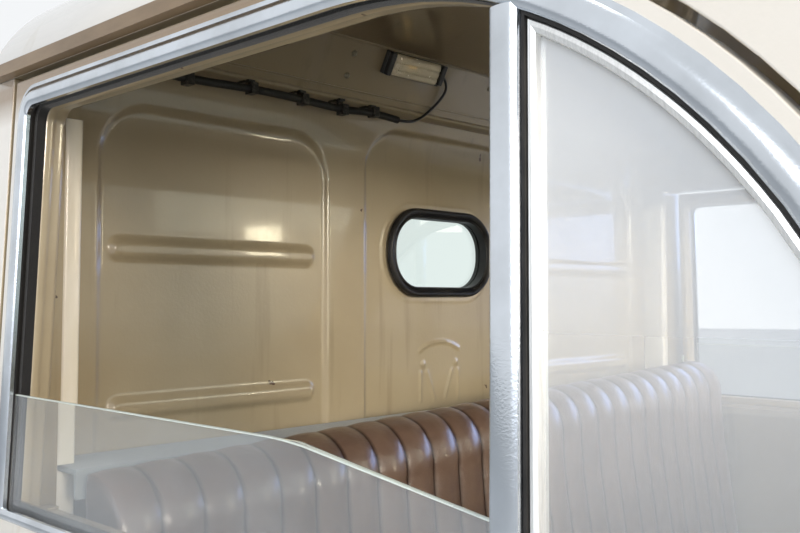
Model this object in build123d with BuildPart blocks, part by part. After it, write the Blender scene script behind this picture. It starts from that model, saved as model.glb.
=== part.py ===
from build123d import *
import math
import os

os.makedirs("parts", exist_ok=True)

# Cab of a small pickup truck: +X to the front, +Y to the left, +Z up, millimetres.
# The origin lies midway between the four body bolts, on the cab's underside.

# Overall size of the cab shell. The hips are its widest line: the half widths above and
# below are tucked in from them, and the heights rise from the belt line to the crown.
rear_x = -705
front_x = 650
hip_half_width = 737
hip_z = 380
belt_z = 736
floor_tuck = 23
belt_tuck = 25
gutter_tuck = 20
roof_edge_tuck = 85
gutter_rise = 424
roof_edge_rise = 102
roof_rear_rise = 28
roof_crown_rise = 64
roof_swell = 6
floor_half_width = hip_half_width - floor_tuck
belt_half_width = hip_half_width - belt_tuck
gutter_half_width = belt_half_width - gutter_tuck
roof_edge_half_width = gutter_half_width - roof_edge_tuck
gutter_z = belt_z + gutter_rise
roof_edge_z = gutter_z + roof_edge_rise
roof_rear_z = roof_edge_z + roof_rear_rise
roof_crown_z = roof_edge_z + roof_crown_rise
rear_corner_drop = 25
rear_corner_z = gutter_z - rear_corner_drop
roof_rear_inset = 105
roof_rear_x = rear_x + roof_rear_inset

# Windscreen slope, from the scuttle at its base up to the header
scuttle_length = 255
scuttle_rise = 16
screen_run = 355
roof_peak_run = 310
nose_drop = 36
screen_base_x = front_x - scuttle_length
screen_base_z = belt_z + scuttle_rise
header_x = screen_base_x - screen_run
header_z = roof_edge_z
roof_top_x = header_x - roof_peak_run
nose_z = belt_z - nose_drop

# Thickness of each wall
side_wall = 62
rear_wall = 24
roof_wall = 10
screen_wall = 26
firewall_wall = 14
frame_depth = 20
post_depth = 72
sill_height = 70
floor_z = 46
floor_wall = 10
tunnel_height = 90
tunnel_half_width = 110
tunnel_corner = 50

# Vent lid pressed in the middle of the scuttle
vent_width = 340
vent_length = 100
vent_inset = 110
vent_corner = 20
vent_proud = 4

# Beads rolled into the floor on both sides of the tunnel, to stiffen it
bead_width = 26
bead_length = 760
bead_proud = 4
bead_ys = (210, 330, 450)

# Body bolts, under the floor
mount_x = 500
mount_y = 380
mount_hole = 6
mount_radius = 34

# Doors
shut_gap = 6
door_frame = 27
rear_post_width = 73
front_post_width = 15
door_rear_x = rear_x + rear_post_width
door_front_x = screen_base_x - front_post_width
door_top_z = gutter_z - shut_gap
edge_taper = 6
edge_taper_start = 4
opening_inset = 29
opening_bow_run = 291
opening_bow_drop = 147
opening_bow_reach = 81
opening_front_inset = 95
opening_rear_x = door_rear_x + opening_inset
opening_top_z = door_top_z - door_frame
opening_middle_x = header_x + opening_bow_reach
opening_middle_z = opening_top_z - opening_bow_drop
opening_bend_x = opening_middle_x - opening_bow_run
opening_front_x = door_front_x - opening_front_inset
shoulder_rise = 12
shoulder_drop = 40
surround_face = 20
surround_proud = 5
channel_face = 8
channel_lip = 4
glass_wall = 4
glass_inset = 6
slot_play = 1.5
run_play = 0.3
glass_showing = 114
glass_front_drop = 26
glass_hidden = 316
glass_top_z = belt_z + glass_showing
glass_front_z = glass_top_z - glass_front_drop
glass_bottom_z = belt_z - glass_hidden
sill_seal_height = 16
sill_seal_wall = 6

# Division bar and quarter light
quarter_light_length = 146
glass_slope_run = 165
bar_x = opening_middle_x - quarter_light_length
glass_slope_x = bar_x - glass_slope_run
bar_width = 20
bar_lean = 12
bar_depth = 16
bar_groove = 6
quarter_strip = 12

# Windscreen opening on its slope, with posts beside it and the header above
screen_low = 44
screen_head = 77
screen_post = 97
screen_half_width = belt_half_width - screen_post
screen_length = math.hypot(screen_base_x - header_x, header_z - screen_base_z) - screen_low - screen_head
screen_taper = 84
screen_seal = 14
screen_lip = 8
seal_flange = 6

# Ledge, header rail, lamp
ledge_depth = 84
ledge_rise = 36
ledge_z = belt_z + ledge_rise
ledge_drop = 30
ledge_wall = 6
rail_bottom_depth = 50
rail_top_depth = 90
rail_bottom_rise = 3
rail_top_rise = 79
rail_wall = 5
lamp_length = 112
lamp_height = 32
lamp_depth = 17
lamp_corner = 4
lamp_end = 12
lamp_y = -153
wire_radius = 2

# Rear bulkhead pressings: two side panels and a taller centre panel, with ribs in the side
# panels and an arch, two dimples and two tapering legs pressed under the window
inner_half = belt_half_width - post_depth
bulkhead_inset = 15
bulkhead_rise = 45
bulkhead_half_width = inner_half - bulkhead_inset
bulkhead_top_z = gutter_z + bulkhead_rise
lamp_rise = 57
lamp_z = bulkhead_top_z + lamp_rise
pressing_depth = 6
pressing_taper = 40
panel_corner = 60
panel_lift = 4
panel_bottom_z = ledge_z + panel_lift
side_panel_inner = 239
side_panel_inset = 44
side_panel_drop = 38
side_panel_outer = bulkhead_half_width - side_panel_inset
side_panel_top = bulkhead_top_z - side_panel_drop
centre_panel_half = 164
centre_panel_drop = 19
centre_panel_top = bulkhead_top_z - centre_panel_drop
rear_window_rise = 275
rear_window_z = belt_z + rear_window_rise
rear_window_width = 240
rear_window_height = 134
rear_window_flat = 4
rear_seal_face = 13
rib_height = 20
rib_proud = 5
rib_margin = 22
upper_rib_drop = 13
lower_rib_lift = 41
rib_zs = (rear_window_z - upper_rib_drop, panel_bottom_z + lower_rib_lift)
arch_half_width = 47
arch_lift = 86
arch_z = panel_bottom_z + arch_lift
arch_rise = 12
arch_width = 6
arch_proud = 2
dimple_y = 38
dimple_drop = 21
dimple_z = arch_z - dimple_drop
dimple_radius = 4
leg_outer = 44
leg_inner_top = 28
leg_inner_low = 12
leg_drop = 33
leg_lift = 10
leg_top_z = arch_z - leg_drop
leg_low_z = panel_bottom_z + leg_lift

# Bench seat
seat_half_width = inner_half
pleat_pitch = 50
pleat_depth = 7
back_inset = 115
back_crown_run = 50
back_face_run = 14
back_rise = 36
back_shoulder_drop = 46
back_rear_x = rear_x + back_inset
back_top_x = back_rear_x + back_crown_run
back_front_x = back_top_x + back_face_run
back_top_z = ledge_z + back_rise
back_shoulder_z = back_top_z - back_shoulder_drop
cushion_top_z = 362
cushion_fall = 12
cushion_thickness = 130
cushion_setback = 86
cushion_rear_x = back_front_x + cushion_setback
cushion_length = 510
cushion_edge = 55
base_setback = 30
base_rear_x = back_rear_x + base_setback
base_inset = 30
base_wall = 8

# Steering
wheel_inset = 310
wheel_y = inner_half - wheel_inset
wheel_radius = 200
rim_radius = 11
rim_sides = 8
wheel_setback = 100
wheel_drop = 46
wheel_centre_x = header_x - wheel_setback
wheel_centre_z = belt_z - wheel_drop
hub_radius = 34
spoke_width = 24
spoke_wall = 8
spoke_drop = 10
rim_drop = 14
column_tilt = 36
column_radius = 22
column_top = 60
column_end = 780
shaft_radius = 10
shaft_clearance = 0.05
shaft_end_gap = 12

# Door hinges
hinge_x = door_front_x + shut_gap / 2
hinge_pin_radius = 5
hinge_pin_clearance = 0.05
hinge_knuckle_radius = 10
hinge_height = 60
hinge_stand = 12
hinge_y = hip_half_width + hinge_stand
lower_hinge_z = 230
upper_hinge_drop = 136
hinge_zs = (lower_hinge_z, belt_z - upper_hinge_drop)
hinge_leaf_length = 60
hinge_leaf_inset = 2
hinge_leaf_depth = 26

side_reach = 900
screen_slope = math.atan2(header_z - screen_base_z, screen_base_x - header_x)
lean = math.atan2(belt_half_width - gutter_half_width, gutter_z - belt_z)
side_plane = Plane(
    origin=(0, -belt_half_width, belt_z),
    x_dir=(1, 0, 0),
    z_dir=(0, -math.cos(lean), math.sin(lean)),
)


def up(z):
    """Height along the leaning side plane, from the belt line."""
    return (z - belt_z) / math.cos(lean)


def cross_section(lower, upper, roof):
    """Closed outline seen from the front, set in by the wall thicknesses."""
    low = (floor_half_width - lower, 0)
    hip = (hip_half_width - lower, hip_z)
    belt = (belt_half_width - lower, belt_z)
    shoulder = (belt_half_width - upper, belt_z)
    gutter = (gutter_half_width - upper, gutter_z)
    edge = (roof_edge_half_width - upper * 0.6, roof_edge_z - roof)
    with BuildLine() as outline:
        Line((0, 0), low)
        ThreePointArc(low, hip, belt)
        if lower != upper:
            Line(belt, shoulder)
        Line(shoulder, gutter)
        TangentArc(gutter, edge, tangent=(gutter_half_width - belt_half_width, gutter_z - belt_z))
        ThreePointArc(edge, (0, roof_crown_z - roof), (-edge[0], edge[1]))
        mirror(about=Plane.YZ)
    return outline.edges()


def side_view(rear, roof, screen, nose):
    """Closed outline seen from the side, set in by the wall thicknesses."""
    shift = screen / math.sin(screen_slope) - roof / math.tan(screen_slope)
    corner = (rear_x + rear, rear_corner_z)
    top_rear = (roof_rear_x + rear * 0.5, roof_rear_z - roof)
    head = (header_x - shift, header_z - roof)
    base = (screen_base_x - shift, screen_base_z - roof)
    with BuildLine() as outline:
        Line((rear_x + rear, 0), corner)
        TangentArc(corner, top_rear, tangent=(0, 1))
        ThreePointArc(top_rear, (roof_top_x, roof_crown_z + roof_swell - roof), head)
        Line(head, base)
        Line(base, (front_x - nose, nose_z - roof))
        Line((front_x - nose, nose_z - roof), (front_x - nose, 0))
        Line((front_x - nose, 0), (rear_x + rear, 0))
    return outline.edges()


def door_outline():
    """Side view of the door's outer edge, as x and z, one frame face outside the opening."""
    face = door_frame
    run = opening_middle_x - opening_bend_x
    drop = opening_top_z - opening_middle_z
    turn = math.asin(run / ((run**2 + drop**2) / (2 * drop)))
    slant = (opening_middle_x + face * math.sin(turn), opening_middle_z + face * math.cos(turn))
    rake = math.atan2(opening_middle_z - belt_z, opening_front_x - opening_middle_x)
    foot = (opening_front_x + face / math.sin(rake) - shoulder_rise / math.tan(rake), belt_z + shoulder_rise)
    with BuildLine() as outline:
        Line((door_rear_x, sill_height + shut_gap), (door_rear_x, door_top_z))
        Line((door_rear_x, door_top_z), (opening_bend_x, door_top_z))
        TangentArc((opening_bend_x, door_top_z), slant, tangent=(1, 0))
        Line(slant, foot)
        Line(foot, (door_front_x, belt_z - shoulder_drop))
        Line((door_front_x, belt_z - shoulder_drop), (door_front_x, sill_height + shut_gap))
        Line((door_front_x, sill_height + shut_gap), (door_rear_x, sill_height + shut_gap))
    return outline.edges()


def opening_outline():
    """Daylight opening in the door, drawn on the leaning side plane."""
    middle = (opening_middle_x, up(opening_middle_z))
    with BuildLine() as outline:
        Line((opening_rear_x, 0), (opening_rear_x, up(opening_top_z)))
        Line((opening_rear_x, up(opening_top_z)), (opening_bend_x, up(opening_top_z)))
        TangentArc((opening_bend_x, up(opening_top_z)), middle, tangent=(1, 0))
        Line(middle, (opening_front_x, 0))
        Line((opening_front_x, 0), (opening_rear_x, 0))
    return outline.edges()


with BuildPart() as outer_form:
    with BuildSketch(Plane.YZ):
        make_face(cross_section(0, 0, 0))
    extrude(amount=side_reach, both=True)
    with BuildSketch(Plane.XZ):
        make_face(side_view(0, 0, 0, 0))
    extrude(amount=side_reach, both=True, mode=Mode.INTERSECT)

with BuildPart() as cavity:
    with BuildSketch(Plane.YZ):
        make_face(cross_section(side_wall, frame_depth, roof_wall))
    extrude(amount=side_reach, both=True)
    with BuildSketch(Plane.XZ):
        make_face(side_view(rear_wall, roof_wall, screen_wall, firewall_wall))
    extrude(amount=side_reach, both=True, mode=Mode.INTERSECT)

with BuildPart() as shell:
    add(outer_form.part)
    add(cavity.part, mode=Mode.SUBTRACT)

# Space kept free for both doors, a shut line larger all round
door_room = 20
with BuildPart() as door_space:
    with BuildSketch(Plane.XZ):
        make_face(door_outline())
        offset(amount=shut_gap, kind=Kind.INTERSECTION, mode=Mode.REPLACE)
    extrude(amount=side_reach, both=True)
    with BuildSketch(Plane.XY):
        Rectangle(2 * side_reach, 2 * (floor_half_width - side_wall - door_room))
    extrude(amount=2 * side_reach, mode=Mode.SUBTRACT)


def region(part, x0, x1, y0, y1, z0, z1):
    """The piece of a part inside a box given by its limits."""
    with BuildPart() as piece:
        add(part)
        with BuildSketch(Plane.XY.offset(z0)):
            with Locations(((x0 + x1) / 2, (y0 + y1) / 2)):
                Rectangle(x1 - x0, y1 - y0)
        extrude(amount=z1 - z0, mode=Mode.INTERSECT)
    return piece.part


with BuildPart() as pillars_and_roof:
    add(shell.part)
    add(door_space.part, mode=Mode.SUBTRACT)
body = pillars_and_roof.part

reach = side_reach
wall_face = rear_x + rear_wall
header_lap = 60
cowl_lap = 95
cowl_lip = 44
cowl_skirt = 24
pillar_reach = 145
split_x = header_x - header_lap
cowl_rear_x = screen_base_x - cowl_lap
pillar_front = rear_x + pillar_reach

# Roof panel, with its rounded rear edge
with BuildPart() as roof_panel:
    add(region(body, -reach, split_x, -reach, reach, gutter_z, 2 * reach))
    with BuildSketch(Plane.XY.offset(gutter_z)):
        with Locations((rear_x, 0)):
            Rectangle(2 * (pillar_front - rear_x), 2 * bulkhead_half_width)
    extrude(amount=bulkhead_top_z - gutter_z, mode=Mode.SUBTRACT)

screen_plane = Plane(
    origin=(screen_base_x, 0, screen_base_z),
    x_dir=(0, 1, 0),
    z_dir=(math.sin(screen_slope), 0, math.cos(screen_slope)),
)
scuttle_slope = math.atan2(screen_base_z - nose_z, front_x - screen_base_x)
vent_plane = Plane(
    origin=(front_x - vent_inset, 0, nose_z + vent_inset * math.tan(scuttle_slope)),
    x_dir=(0, 1, 0),
    z_dir=(math.sin(scuttle_slope), 0, math.cos(scuttle_slope)),
)


def screen_face(inset):
    """Windscreen opening on its slope, smaller all round by the inset."""
    with BuildSketch() as shape:
        with Locations((0, screen_low)):
            Trapezoid(2 * screen_half_width, screen_length, screen_taper, align=(Align.CENTER, Align.MIN))
        if inset:
            offset(amount=-inset, kind=Kind.INTERSECTION, mode=Mode.REPLACE)
    return shape.sketch


# Windscreen frame with its header and both front pillars
with BuildPart() as windscreen_frame:
    add(region(body, split_x, reach, -reach, reach, nose_z + cowl_lip, 2 * reach))
    with BuildSketch(screen_plane):
        add(screen_face(0))
    extrude(amount=2 * screen_wall, both=True, mode=Mode.SUBTRACT)

# Cowl top with its pressed vent lid, cowl sides, firewall with its sloping toe board
with BuildPart() as cowl_panel:
    add(region(body, cowl_rear_x, reach, -inner_half, inner_half, nose_z - cowl_skirt, nose_z + cowl_lip))
    with BuildSketch(vent_plane):
        RectangleRounded(vent_width, vent_length, vent_corner)
    extrude(amount=vent_proud, taper=pressing_taper)

with BuildPart() as cowl_sides:
    add(region(body, cowl_rear_x, reach, inner_half, reach, sill_height, nose_z + cowl_lip))
    mirror(about=Plane.XZ)

tilt = math.radians(column_tilt)
axis_dir = (math.cos(tilt), 0, -math.sin(tilt))


def on_column(distance):
    """Point on the steering axis, measured from the wheel's centre."""
    return (
        wheel_centre_x + axis_dir[0] * distance,
        wheel_y,
        wheel_centre_z + axis_dir[2] * distance,
    )


toe_x, _, toe_z = on_column(column_end)
toe_slope = math.pi / 2 - tilt
floor_top = floor_z + floor_wall
wall_x = front_x - firewall_wall
toe_low_x = toe_x - (toe_z - floor_top) / math.tan(toe_slope)
toe_high_z = toe_z + (wall_x - toe_x) * math.tan(toe_slope)
toe_wall = 8
toe_margin = 5
toe_step = toe_wall / math.sin(toe_slope)
with BuildPart() as firewall:
    add(region(body, cowl_rear_x, reach, -inner_half, inner_half, sill_height, nose_z - cowl_skirt))
    with BuildSketch(Plane.XZ):
        with BuildLine():
            Polyline(
                (toe_low_x, floor_top),
                (wall_x, toe_high_z),
                (wall_x, toe_high_z - toe_step * math.tan(toe_slope)),
                (toe_low_x + toe_step, floor_top),
                close=True,
            )
        make_face()
    extrude(amount=inner_half - toe_margin, both=True)

tunnel_gap = 20
floor_lap = 4
with BuildPart() as tunnel_form:
    with BuildSketch(Plane.YZ.offset(wall_face)):
        with Locations((0, floor_top)):
            RectangleRounded(2 * tunnel_half_width, 2 * tunnel_height, tunnel_corner)
        with Locations((0, floor_z)):
            below = (Align.CENTER, Align.MAX)
            Rectangle(4 * tunnel_half_width, 4 * tunnel_height, align=below, mode=Mode.SUBTRACT)
    extrude(amount=toe_low_x - tunnel_gap - wall_face)

# Floor pan with its sills, end walls, beads and centre tunnel
floor_middle_x = (wall_face + toe_low_x) / 2
with BuildPart() as floor_pan:
    add(region(shell.part, -reach, reach, -reach, reach, 0, sill_height))
    with BuildSketch(Plane.XY.offset(floor_z)):
        with Locations(((wall_face + wall_x) / 2, 0)):
            Rectangle(wall_x - wall_face + floor_lap / 2, 2 * (floor_half_width - side_wall + floor_lap))
    extrude(amount=floor_wall)
    with BuildSketch(Plane.XY.offset(floor_top)):
        for bead_y in bead_ys:
            with Locations((floor_middle_x, bead_y), (floor_middle_x, -bead_y)):
                Rectangle(bead_length, bead_width)
    extrude(amount=bead_proud, taper=pressing_taper)
    add(tunnel_form.part)
    with BuildSketch(Plane.YZ.offset(wall_face)):
        with Locations((0, floor_top)):
            RectangleRounded(
                2 * (tunnel_half_width - floor_wall),
                2 * (tunnel_height - floor_wall),
                tunnel_corner - floor_wall,
            )
    extrude(amount=toe_low_x - 2 * tunnel_gap - wall_face, mode=Mode.SUBTRACT)
    with BuildSketch(Plane.XY.offset(floor_z)):
        with GridLocations(2 * mount_x, 2 * mount_y, 2, 2):
            Circle(mount_hole)
    extrude(amount=floor_wall, mode=Mode.SUBTRACT)

# Pillars behind the doors
with BuildPart() as door_pillars:
    with BuildSketch(side_plane):
        with Locations(((rear_x + door_rear_x - shut_gap) / 2, 0)):
            Rectangle(door_rear_x - shut_gap - rear_x, 2 * reach)
    extrude(amount=-post_depth)
    add(region(outer_form.part, -reach, 0, -reach, 0, sill_height, gutter_z), mode=Mode.INTERSECT)
    add(region(body, -reach, pillar_front, -reach, -bulkhead_half_width, sill_height, gutter_z))
    mirror(about=Plane.XZ)



def window_shape(shrink):
    """Oval outline of the rear window, smaller all round by half the shrink."""
    with BuildSketch() as shape:
        RectangleRounded(
            rear_window_width - shrink,
            rear_window_height - shrink,
            (rear_window_height - shrink) / 2 - rear_window_flat,
        )
    return shape.sketch


# Rear bulkhead with its pressed panels, ribs and window hole
pressed_face = wall_face - pressing_depth
side_panel_y = (side_panel_inner + side_panel_outer) / 2
with BuildSketch() as panels:
    for side in (-1, 1):
        with Locations((side * side_panel_y, (side_panel_top + panel_bottom_z) / 2)):
            Rectangle(side_panel_outer - side_panel_inner, side_panel_top - panel_bottom_z)
    with Locations((0, (centre_panel_top + panel_bottom_z) / 2)):
        Rectangle(2 * centre_panel_half, centre_panel_top - panel_bottom_z)
    fillet(vertices().filter_by_position(Axis.Y, side_panel_top - 1, centre_panel_top + 1), panel_corner)

with BuildPart() as rear_bulkhead:
    add(
        region(
            body, -reach, pillar_front, -bulkhead_half_width, bulkhead_half_width,
            sill_height, bulkhead_top_z,
        )
    )
    with BuildSketch(Plane.YZ.offset(wall_face)):
        add(panels.sketch)
    extrude(amount=-pressing_depth, taper=pressing_taper, mode=Mode.SUBTRACT)
    with BuildSketch(Plane.YZ.offset(wall_face)):
        add(panels.sketch)
    extrude(amount=rear_wall, mode=Mode.SUBTRACT)
    with BuildSketch(Plane.YZ.offset(pressed_face)):
        for side in (-1, 1):
            for rib_z in rib_zs:
                with Locations((side * side_panel_y, rib_z)):
                    SlotOverall(side_panel_outer - side_panel_inner - 2 * rib_margin, rib_height)
    extrude(amount=rib_proud, taper=pressing_taper)
    with BuildSketch(Plane.YZ.offset(pressed_face)):
        with BuildLine(mode=Mode.PRIVATE) as arch_line:
            ThreePointArc((-arch_half_width, arch_z), (0, arch_z + arch_rise), (arch_half_width, arch_z))
        SlotArc(arch_line.edges()[0], arch_width)
        for side in (-1, 1):
            with Locations((side * dimple_y, dimple_z)):
                Circle(dimple_radius)
            with BuildLine():
                Polyline(
                    (side * leg_outer, leg_top_z),
                    (side * leg_inner_top, leg_top_z),
                    (side * leg_inner_low, leg_low_z),
                    (side * leg_outer, leg_low_z),
                    close=True,
                )
            make_face()
    extrude(amount=arch_proud)
    with BuildSketch(Plane.YZ.offset(wall_face)):
        with Locations((0, rear_window_z)):
            add(window_shape(rear_seal_face))
    extrude(amount=-2 * rear_wall, mode=Mode.SUBTRACT)
    add(door_pillars.part, mode=Mode.SUBTRACT)

rear_glass_inset = 9
rear_glass_x = rear_x + rear_glass_inset
rear_glass_grip = 4

# Rubber seal of the rear window, gripping the wall outside and the glass inside
with BuildPart() as rear_window_seal:
    with BuildSketch(Plane.YZ.offset(pressed_face)):
        with Locations((0, rear_window_z)):
            add(window_shape(0))
            add(window_shape(2 * rear_seal_face), mode=Mode.SUBTRACT)
    extrude(amount=seal_flange)
    with BuildSketch(Plane.YZ.offset(rear_x)):
        with Locations((0, rear_window_z)):
            add(window_shape(rear_seal_face))
            add(window_shape(2 * rear_seal_face), mode=Mode.SUBTRACT)
    extrude(amount=rear_wall - pressing_depth)
    with BuildSketch(Plane.YZ.offset(rear_x - seal_flange)):
        with Locations((0, rear_window_z)):
            add(window_shape(0))
            add(window_shape(2 * rear_seal_face), mode=Mode.SUBTRACT)
    extrude(amount=seal_flange)
    with BuildSketch(Plane.YZ.offset(rear_glass_x)):
        with Locations((0, rear_window_z)):
            add(window_shape(2 * (rear_seal_face - rear_glass_grip)))
    extrude(amount=glass_wall, mode=Mode.SUBTRACT)

with BuildPart() as rear_window_glass:
    with BuildSketch(Plane.YZ.offset(rear_glass_x)):
        with Locations((0, rear_window_z)):
            add(window_shape(2 * (rear_seal_face - rear_glass_grip)))
    extrude(amount=glass_wall)

# Ledge behind the seat
with BuildPart() as parcel_ledge:
    with BuildSketch(Plane.XZ):
        with BuildLine():
            Polyline(
                (wall_face, ledge_z),
                (wall_face + ledge_depth, ledge_z),
                (wall_face + ledge_depth, ledge_z - ledge_drop),
                (wall_face + ledge_depth - ledge_wall, ledge_z - ledge_drop),
                (wall_face + ledge_depth - ledge_wall, ledge_z - ledge_wall),
                (wall_face, ledge_z - ledge_wall),
                close=True,
            )
        make_face()
    extrude(amount=inner_half, both=True)
    add(door_pillars.part, mode=Mode.SUBTRACT)

# Hollow rail under the rear of the roof
rail_low = (wall_face + rail_bottom_depth, bulkhead_top_z + rail_bottom_rise)
rail_high = (wall_face + rail_top_depth, bulkhead_top_z + rail_top_rise)
rail_angle = math.atan2(rail_high[1] - rail_low[1], rail_high[0] - rail_low[0])
with BuildPart() as rear_header_rail:
    with BuildSketch(Plane.XZ):
        with BuildLine():
            Polyline((rear_x, bulkhead_top_z), rail_low, rail_high, (rear_x, rail_high[1]), close=True)
        make_face()
        with BuildLine():
            Polyline(
                (rear_x, bulkhead_top_z + rail_wall),
                (rail_low[0] - rail_wall, rail_low[1] + rail_wall),
                (rail_high[0] - rail_wall, rail_high[1]),
                (rear_x, rail_high[1]),
                close=True,
            )
        make_face(mode=Mode.SUBTRACT)
    extrude(amount=belt_half_width, both=True)
    add(cavity.part, mode=Mode.INTERSECT)


def on_rail(y, z):
    """Point on the rail's sloping front face."""
    share = (z - rail_low[1]) / (rail_high[1] - rail_low[1])
    return (rail_low[0] + (rail_high[0] - rail_low[0]) * share, y, z)


# Cabin lamp: black housing with end blocks, clear ribbed lens between them
lamp_plane = Plane(
    origin=on_rail(lamp_y, lamp_z),
    x_dir=(0, 1, 0),
    z_dir=(math.sin(rail_angle), 0, -math.cos(rail_angle)),
)
lamp_base_depth = 7
lamp_draft = 8
lens_draft = 12
inlet_size = 2 * wire_radius + 4
with BuildPart() as cabin_lamp_base:
    with BuildSketch(lamp_plane):
        RectangleRounded(lamp_length, lamp_height, lamp_corner)
    extrude(amount=lamp_base_depth)
    with BuildSketch(lamp_plane.offset(lamp_base_depth)):
        for side in (-1, 1):
            with Locations((side * (lamp_length - lamp_end) / 2, 0)):
                Rectangle(lamp_end, lamp_height)
    extrude(amount=lamp_depth - lamp_base_depth, taper=lamp_draft)
    with BuildSketch(lamp_plane.offset(lamp_base_depth)):
        with Locations((lamp_length / 2, 0)):
            Rectangle(inlet_size, inlet_size)
    extrude(amount=inlet_size)

with BuildPart() as cabin_lamp_lens:
    with BuildSketch(lamp_plane.offset(lamp_base_depth)):
        Rectangle(lamp_length - 2 * lamp_end, lamp_height - 2)
    extrude(amount=lamp_depth - lamp_base_depth, taper=lens_draft)

# Windscreen glass, set in its frame
with BuildPart() as windscreen_glass:
    with BuildSketch(screen_plane.offset(-screen_wall / 2)):
        add(screen_face(screen_seal / 2))
    extrude(amount=glass_wall)

with BuildPart() as windscreen_seal:
    with BuildSketch(screen_plane.offset(-screen_wall)):
        add(screen_face(0))
        add(screen_face(screen_seal), mode=Mode.SUBTRACT)
    extrude(amount=screen_wall)
    with BuildSketch(screen_plane, screen_plane.offset(-screen_wall - seal_flange)):
        add(screen_face(-screen_lip))
        add(screen_face(screen_seal), mode=Mode.SUBTRACT)
    extrude(amount=seal_flange)
    add(windscreen_glass.part, mode=Mode.SUBTRACT)


# Right-hand door: lower box, thin window frame, glass slot
door_reach = 25
with BuildPart() as door_right:
    add(shell.part)
    with BuildSketch(Plane.XZ):
        make_face(door_outline())
    extrude(amount=side_reach, mode=Mode.INTERSECT)
    with BuildSketch(Plane.XY):
        with Locations((0, -side_reach)):
            Rectangle(2 * side_reach, 2 * (side_reach - floor_half_width + side_wall + door_reach))
    extrude(amount=2 * side_reach, mode=Mode.INTERSECT)
    with BuildSketch(side_plane):
        make_face(opening_outline())
        offset(amount=channel_face, kind=Kind.INTERSECTION, mode=Mode.REPLACE)
        with Locations((0, -50)):
            Rectangle(2 * side_reach, 100, mode=Mode.SUBTRACT)
    extrude(amount=-100, mode=Mode.SUBTRACT)
    with BuildSketch(Plane.XY):
        with BuildLine():
            Polyline(
                (door_rear_x, -belt_half_width + edge_taper_start),
                (door_rear_x + edge_taper, -floor_half_width + side_wall),
                (door_rear_x + edge_taper, 0),
                (door_rear_x, 0),
                close=True,
            )
        make_face()
    extrude(amount=2 * side_reach, mode=Mode.SUBTRACT)

# The same outlines again give every piece that lines the opening
sill_play = 0.3


def opening_face(grow):
    """Daylight opening grown all round, cut off at the belt line."""
    with BuildSketch() as shape:
        make_face(opening_outline())
        if grow:
            offset(amount=grow, kind=Kind.INTERSECTION, mode=Mode.REPLACE)
        with Locations((0, -50)):
            Rectangle(2 * side_reach, 100, mode=Mode.SUBTRACT)
    return shape.sketch


def glass_face(play):
    """Door glass seen from the side, with the play of its run round it."""
    with BuildSketch() as shape:
        with BuildLine():
            Polyline(
                (opening_rear_x - channel_lip - play, up(glass_top_z) + play),
                (glass_slope_x, up(glass_top_z) + play),
                (bar_x + bar_groove + play, up(glass_front_z) + play),
                (bar_x + bar_groove + play, up(glass_bottom_z) - play),
                (opening_rear_x - channel_lip - play, up(glass_bottom_z) - play),
                close=True,
            )
        make_face()
    return shape.sketch


with BuildPart() as window_glass_right:
    with BuildSketch(side_plane.offset(-glass_inset)):
        add(glass_face(0))
    extrude(amount=-glass_wall)

# Slot in the door that the glass goes down into
with BuildPart() as glass_slot:
    with BuildSketch(side_plane.offset(-glass_inset + slot_play)):
        with Locations(((opening_rear_x + bar_x) / 2, up(glass_bottom_z) / 2 - 5)):
            Rectangle(bar_x - opening_rear_x + 24, -up(glass_bottom_z) + 10)
    extrude(amount=-glass_wall - 2 * slot_play)

with BuildPart() as door_shell_right:
    add(door_right.part)
    add(glass_slot.part, mode=Mode.SUBTRACT)

# Bright surround riveted round the outside of the window opening
with BuildPart() as window_surround_right:
    with BuildSketch(side_plane):
        add(opening_face(surround_face))
        add(opening_face(0), mode=Mode.SUBTRACT)
        with Locations(((opening_rear_x + opening_front_x) / 2, surround_proud)):
            Rectangle(opening_front_x - opening_rear_x, 2 * surround_proud)
    extrude(amount=surround_proud)

# Felt-lined run for the glass, inside the opening
with BuildPart() as glass_run_right:
    with BuildSketch(side_plane):
        add(opening_face(channel_face))
        add(opening_face(0), mode=Mode.SUBTRACT)
    extrude(amount=-2 * glass_inset - glass_wall)
    with BuildSketch(side_plane.offset(-glass_inset + run_play)):
        add(opening_face(channel_lip + run_play))
    extrude(amount=-glass_wall - 2 * run_play, mode=Mode.SUBTRACT)

# Division bar and fixed quarter light in front of it
bar_top = up(opening_top_z)
with BuildPart() as quarter_frame_right:
    with BuildSketch(side_plane):
        with BuildLine():
            Polyline(
                (bar_x, 0),
                (bar_x + bar_width, 0),
                (bar_x + bar_width - bar_lean, bar_top),
                (bar_x - bar_lean, bar_top),
                close=True,
            )
        make_face()
        add(opening_face(0), mode=Mode.INTERSECT)
    extrude(amount=-bar_depth)
    with BuildSketch(side_plane):
        add(opening_face(0))
        with Locations((bar_x + bar_width / 2 - side_reach, 0)):
            Rectangle(2 * side_reach, 2 * side_reach, mode=Mode.SUBTRACT)
        offset(amount=-quarter_strip, kind=Kind.INTERSECTION, mode=Mode.SUBTRACT)
    extrude(amount=-bar_depth)
    with BuildSketch(side_plane.offset(-glass_inset + run_play)):
        add(glass_face(run_play))
    extrude(amount=-glass_wall - 2 * run_play, mode=Mode.SUBTRACT)

with BuildPart() as quarter_glass_right:
    with BuildSketch(side_plane.offset(-bar_depth / 2 + glass_wall / 2)):
        add(opening_face(0))
        with Locations((bar_x + bar_width / 2 - side_reach, 0)):
            Rectangle(2 * side_reach, 2 * side_reach, mode=Mode.SUBTRACT)
        offset(amount=-quarter_strip + 3, kind=Kind.INTERSECTION, mode=Mode.REPLACE)
    extrude(amount=-glass_wall)

with BuildPart() as quarter_light_right:
    add(quarter_frame_right.part)
    add(quarter_glass_right.part, mode=Mode.SUBTRACT)

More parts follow.
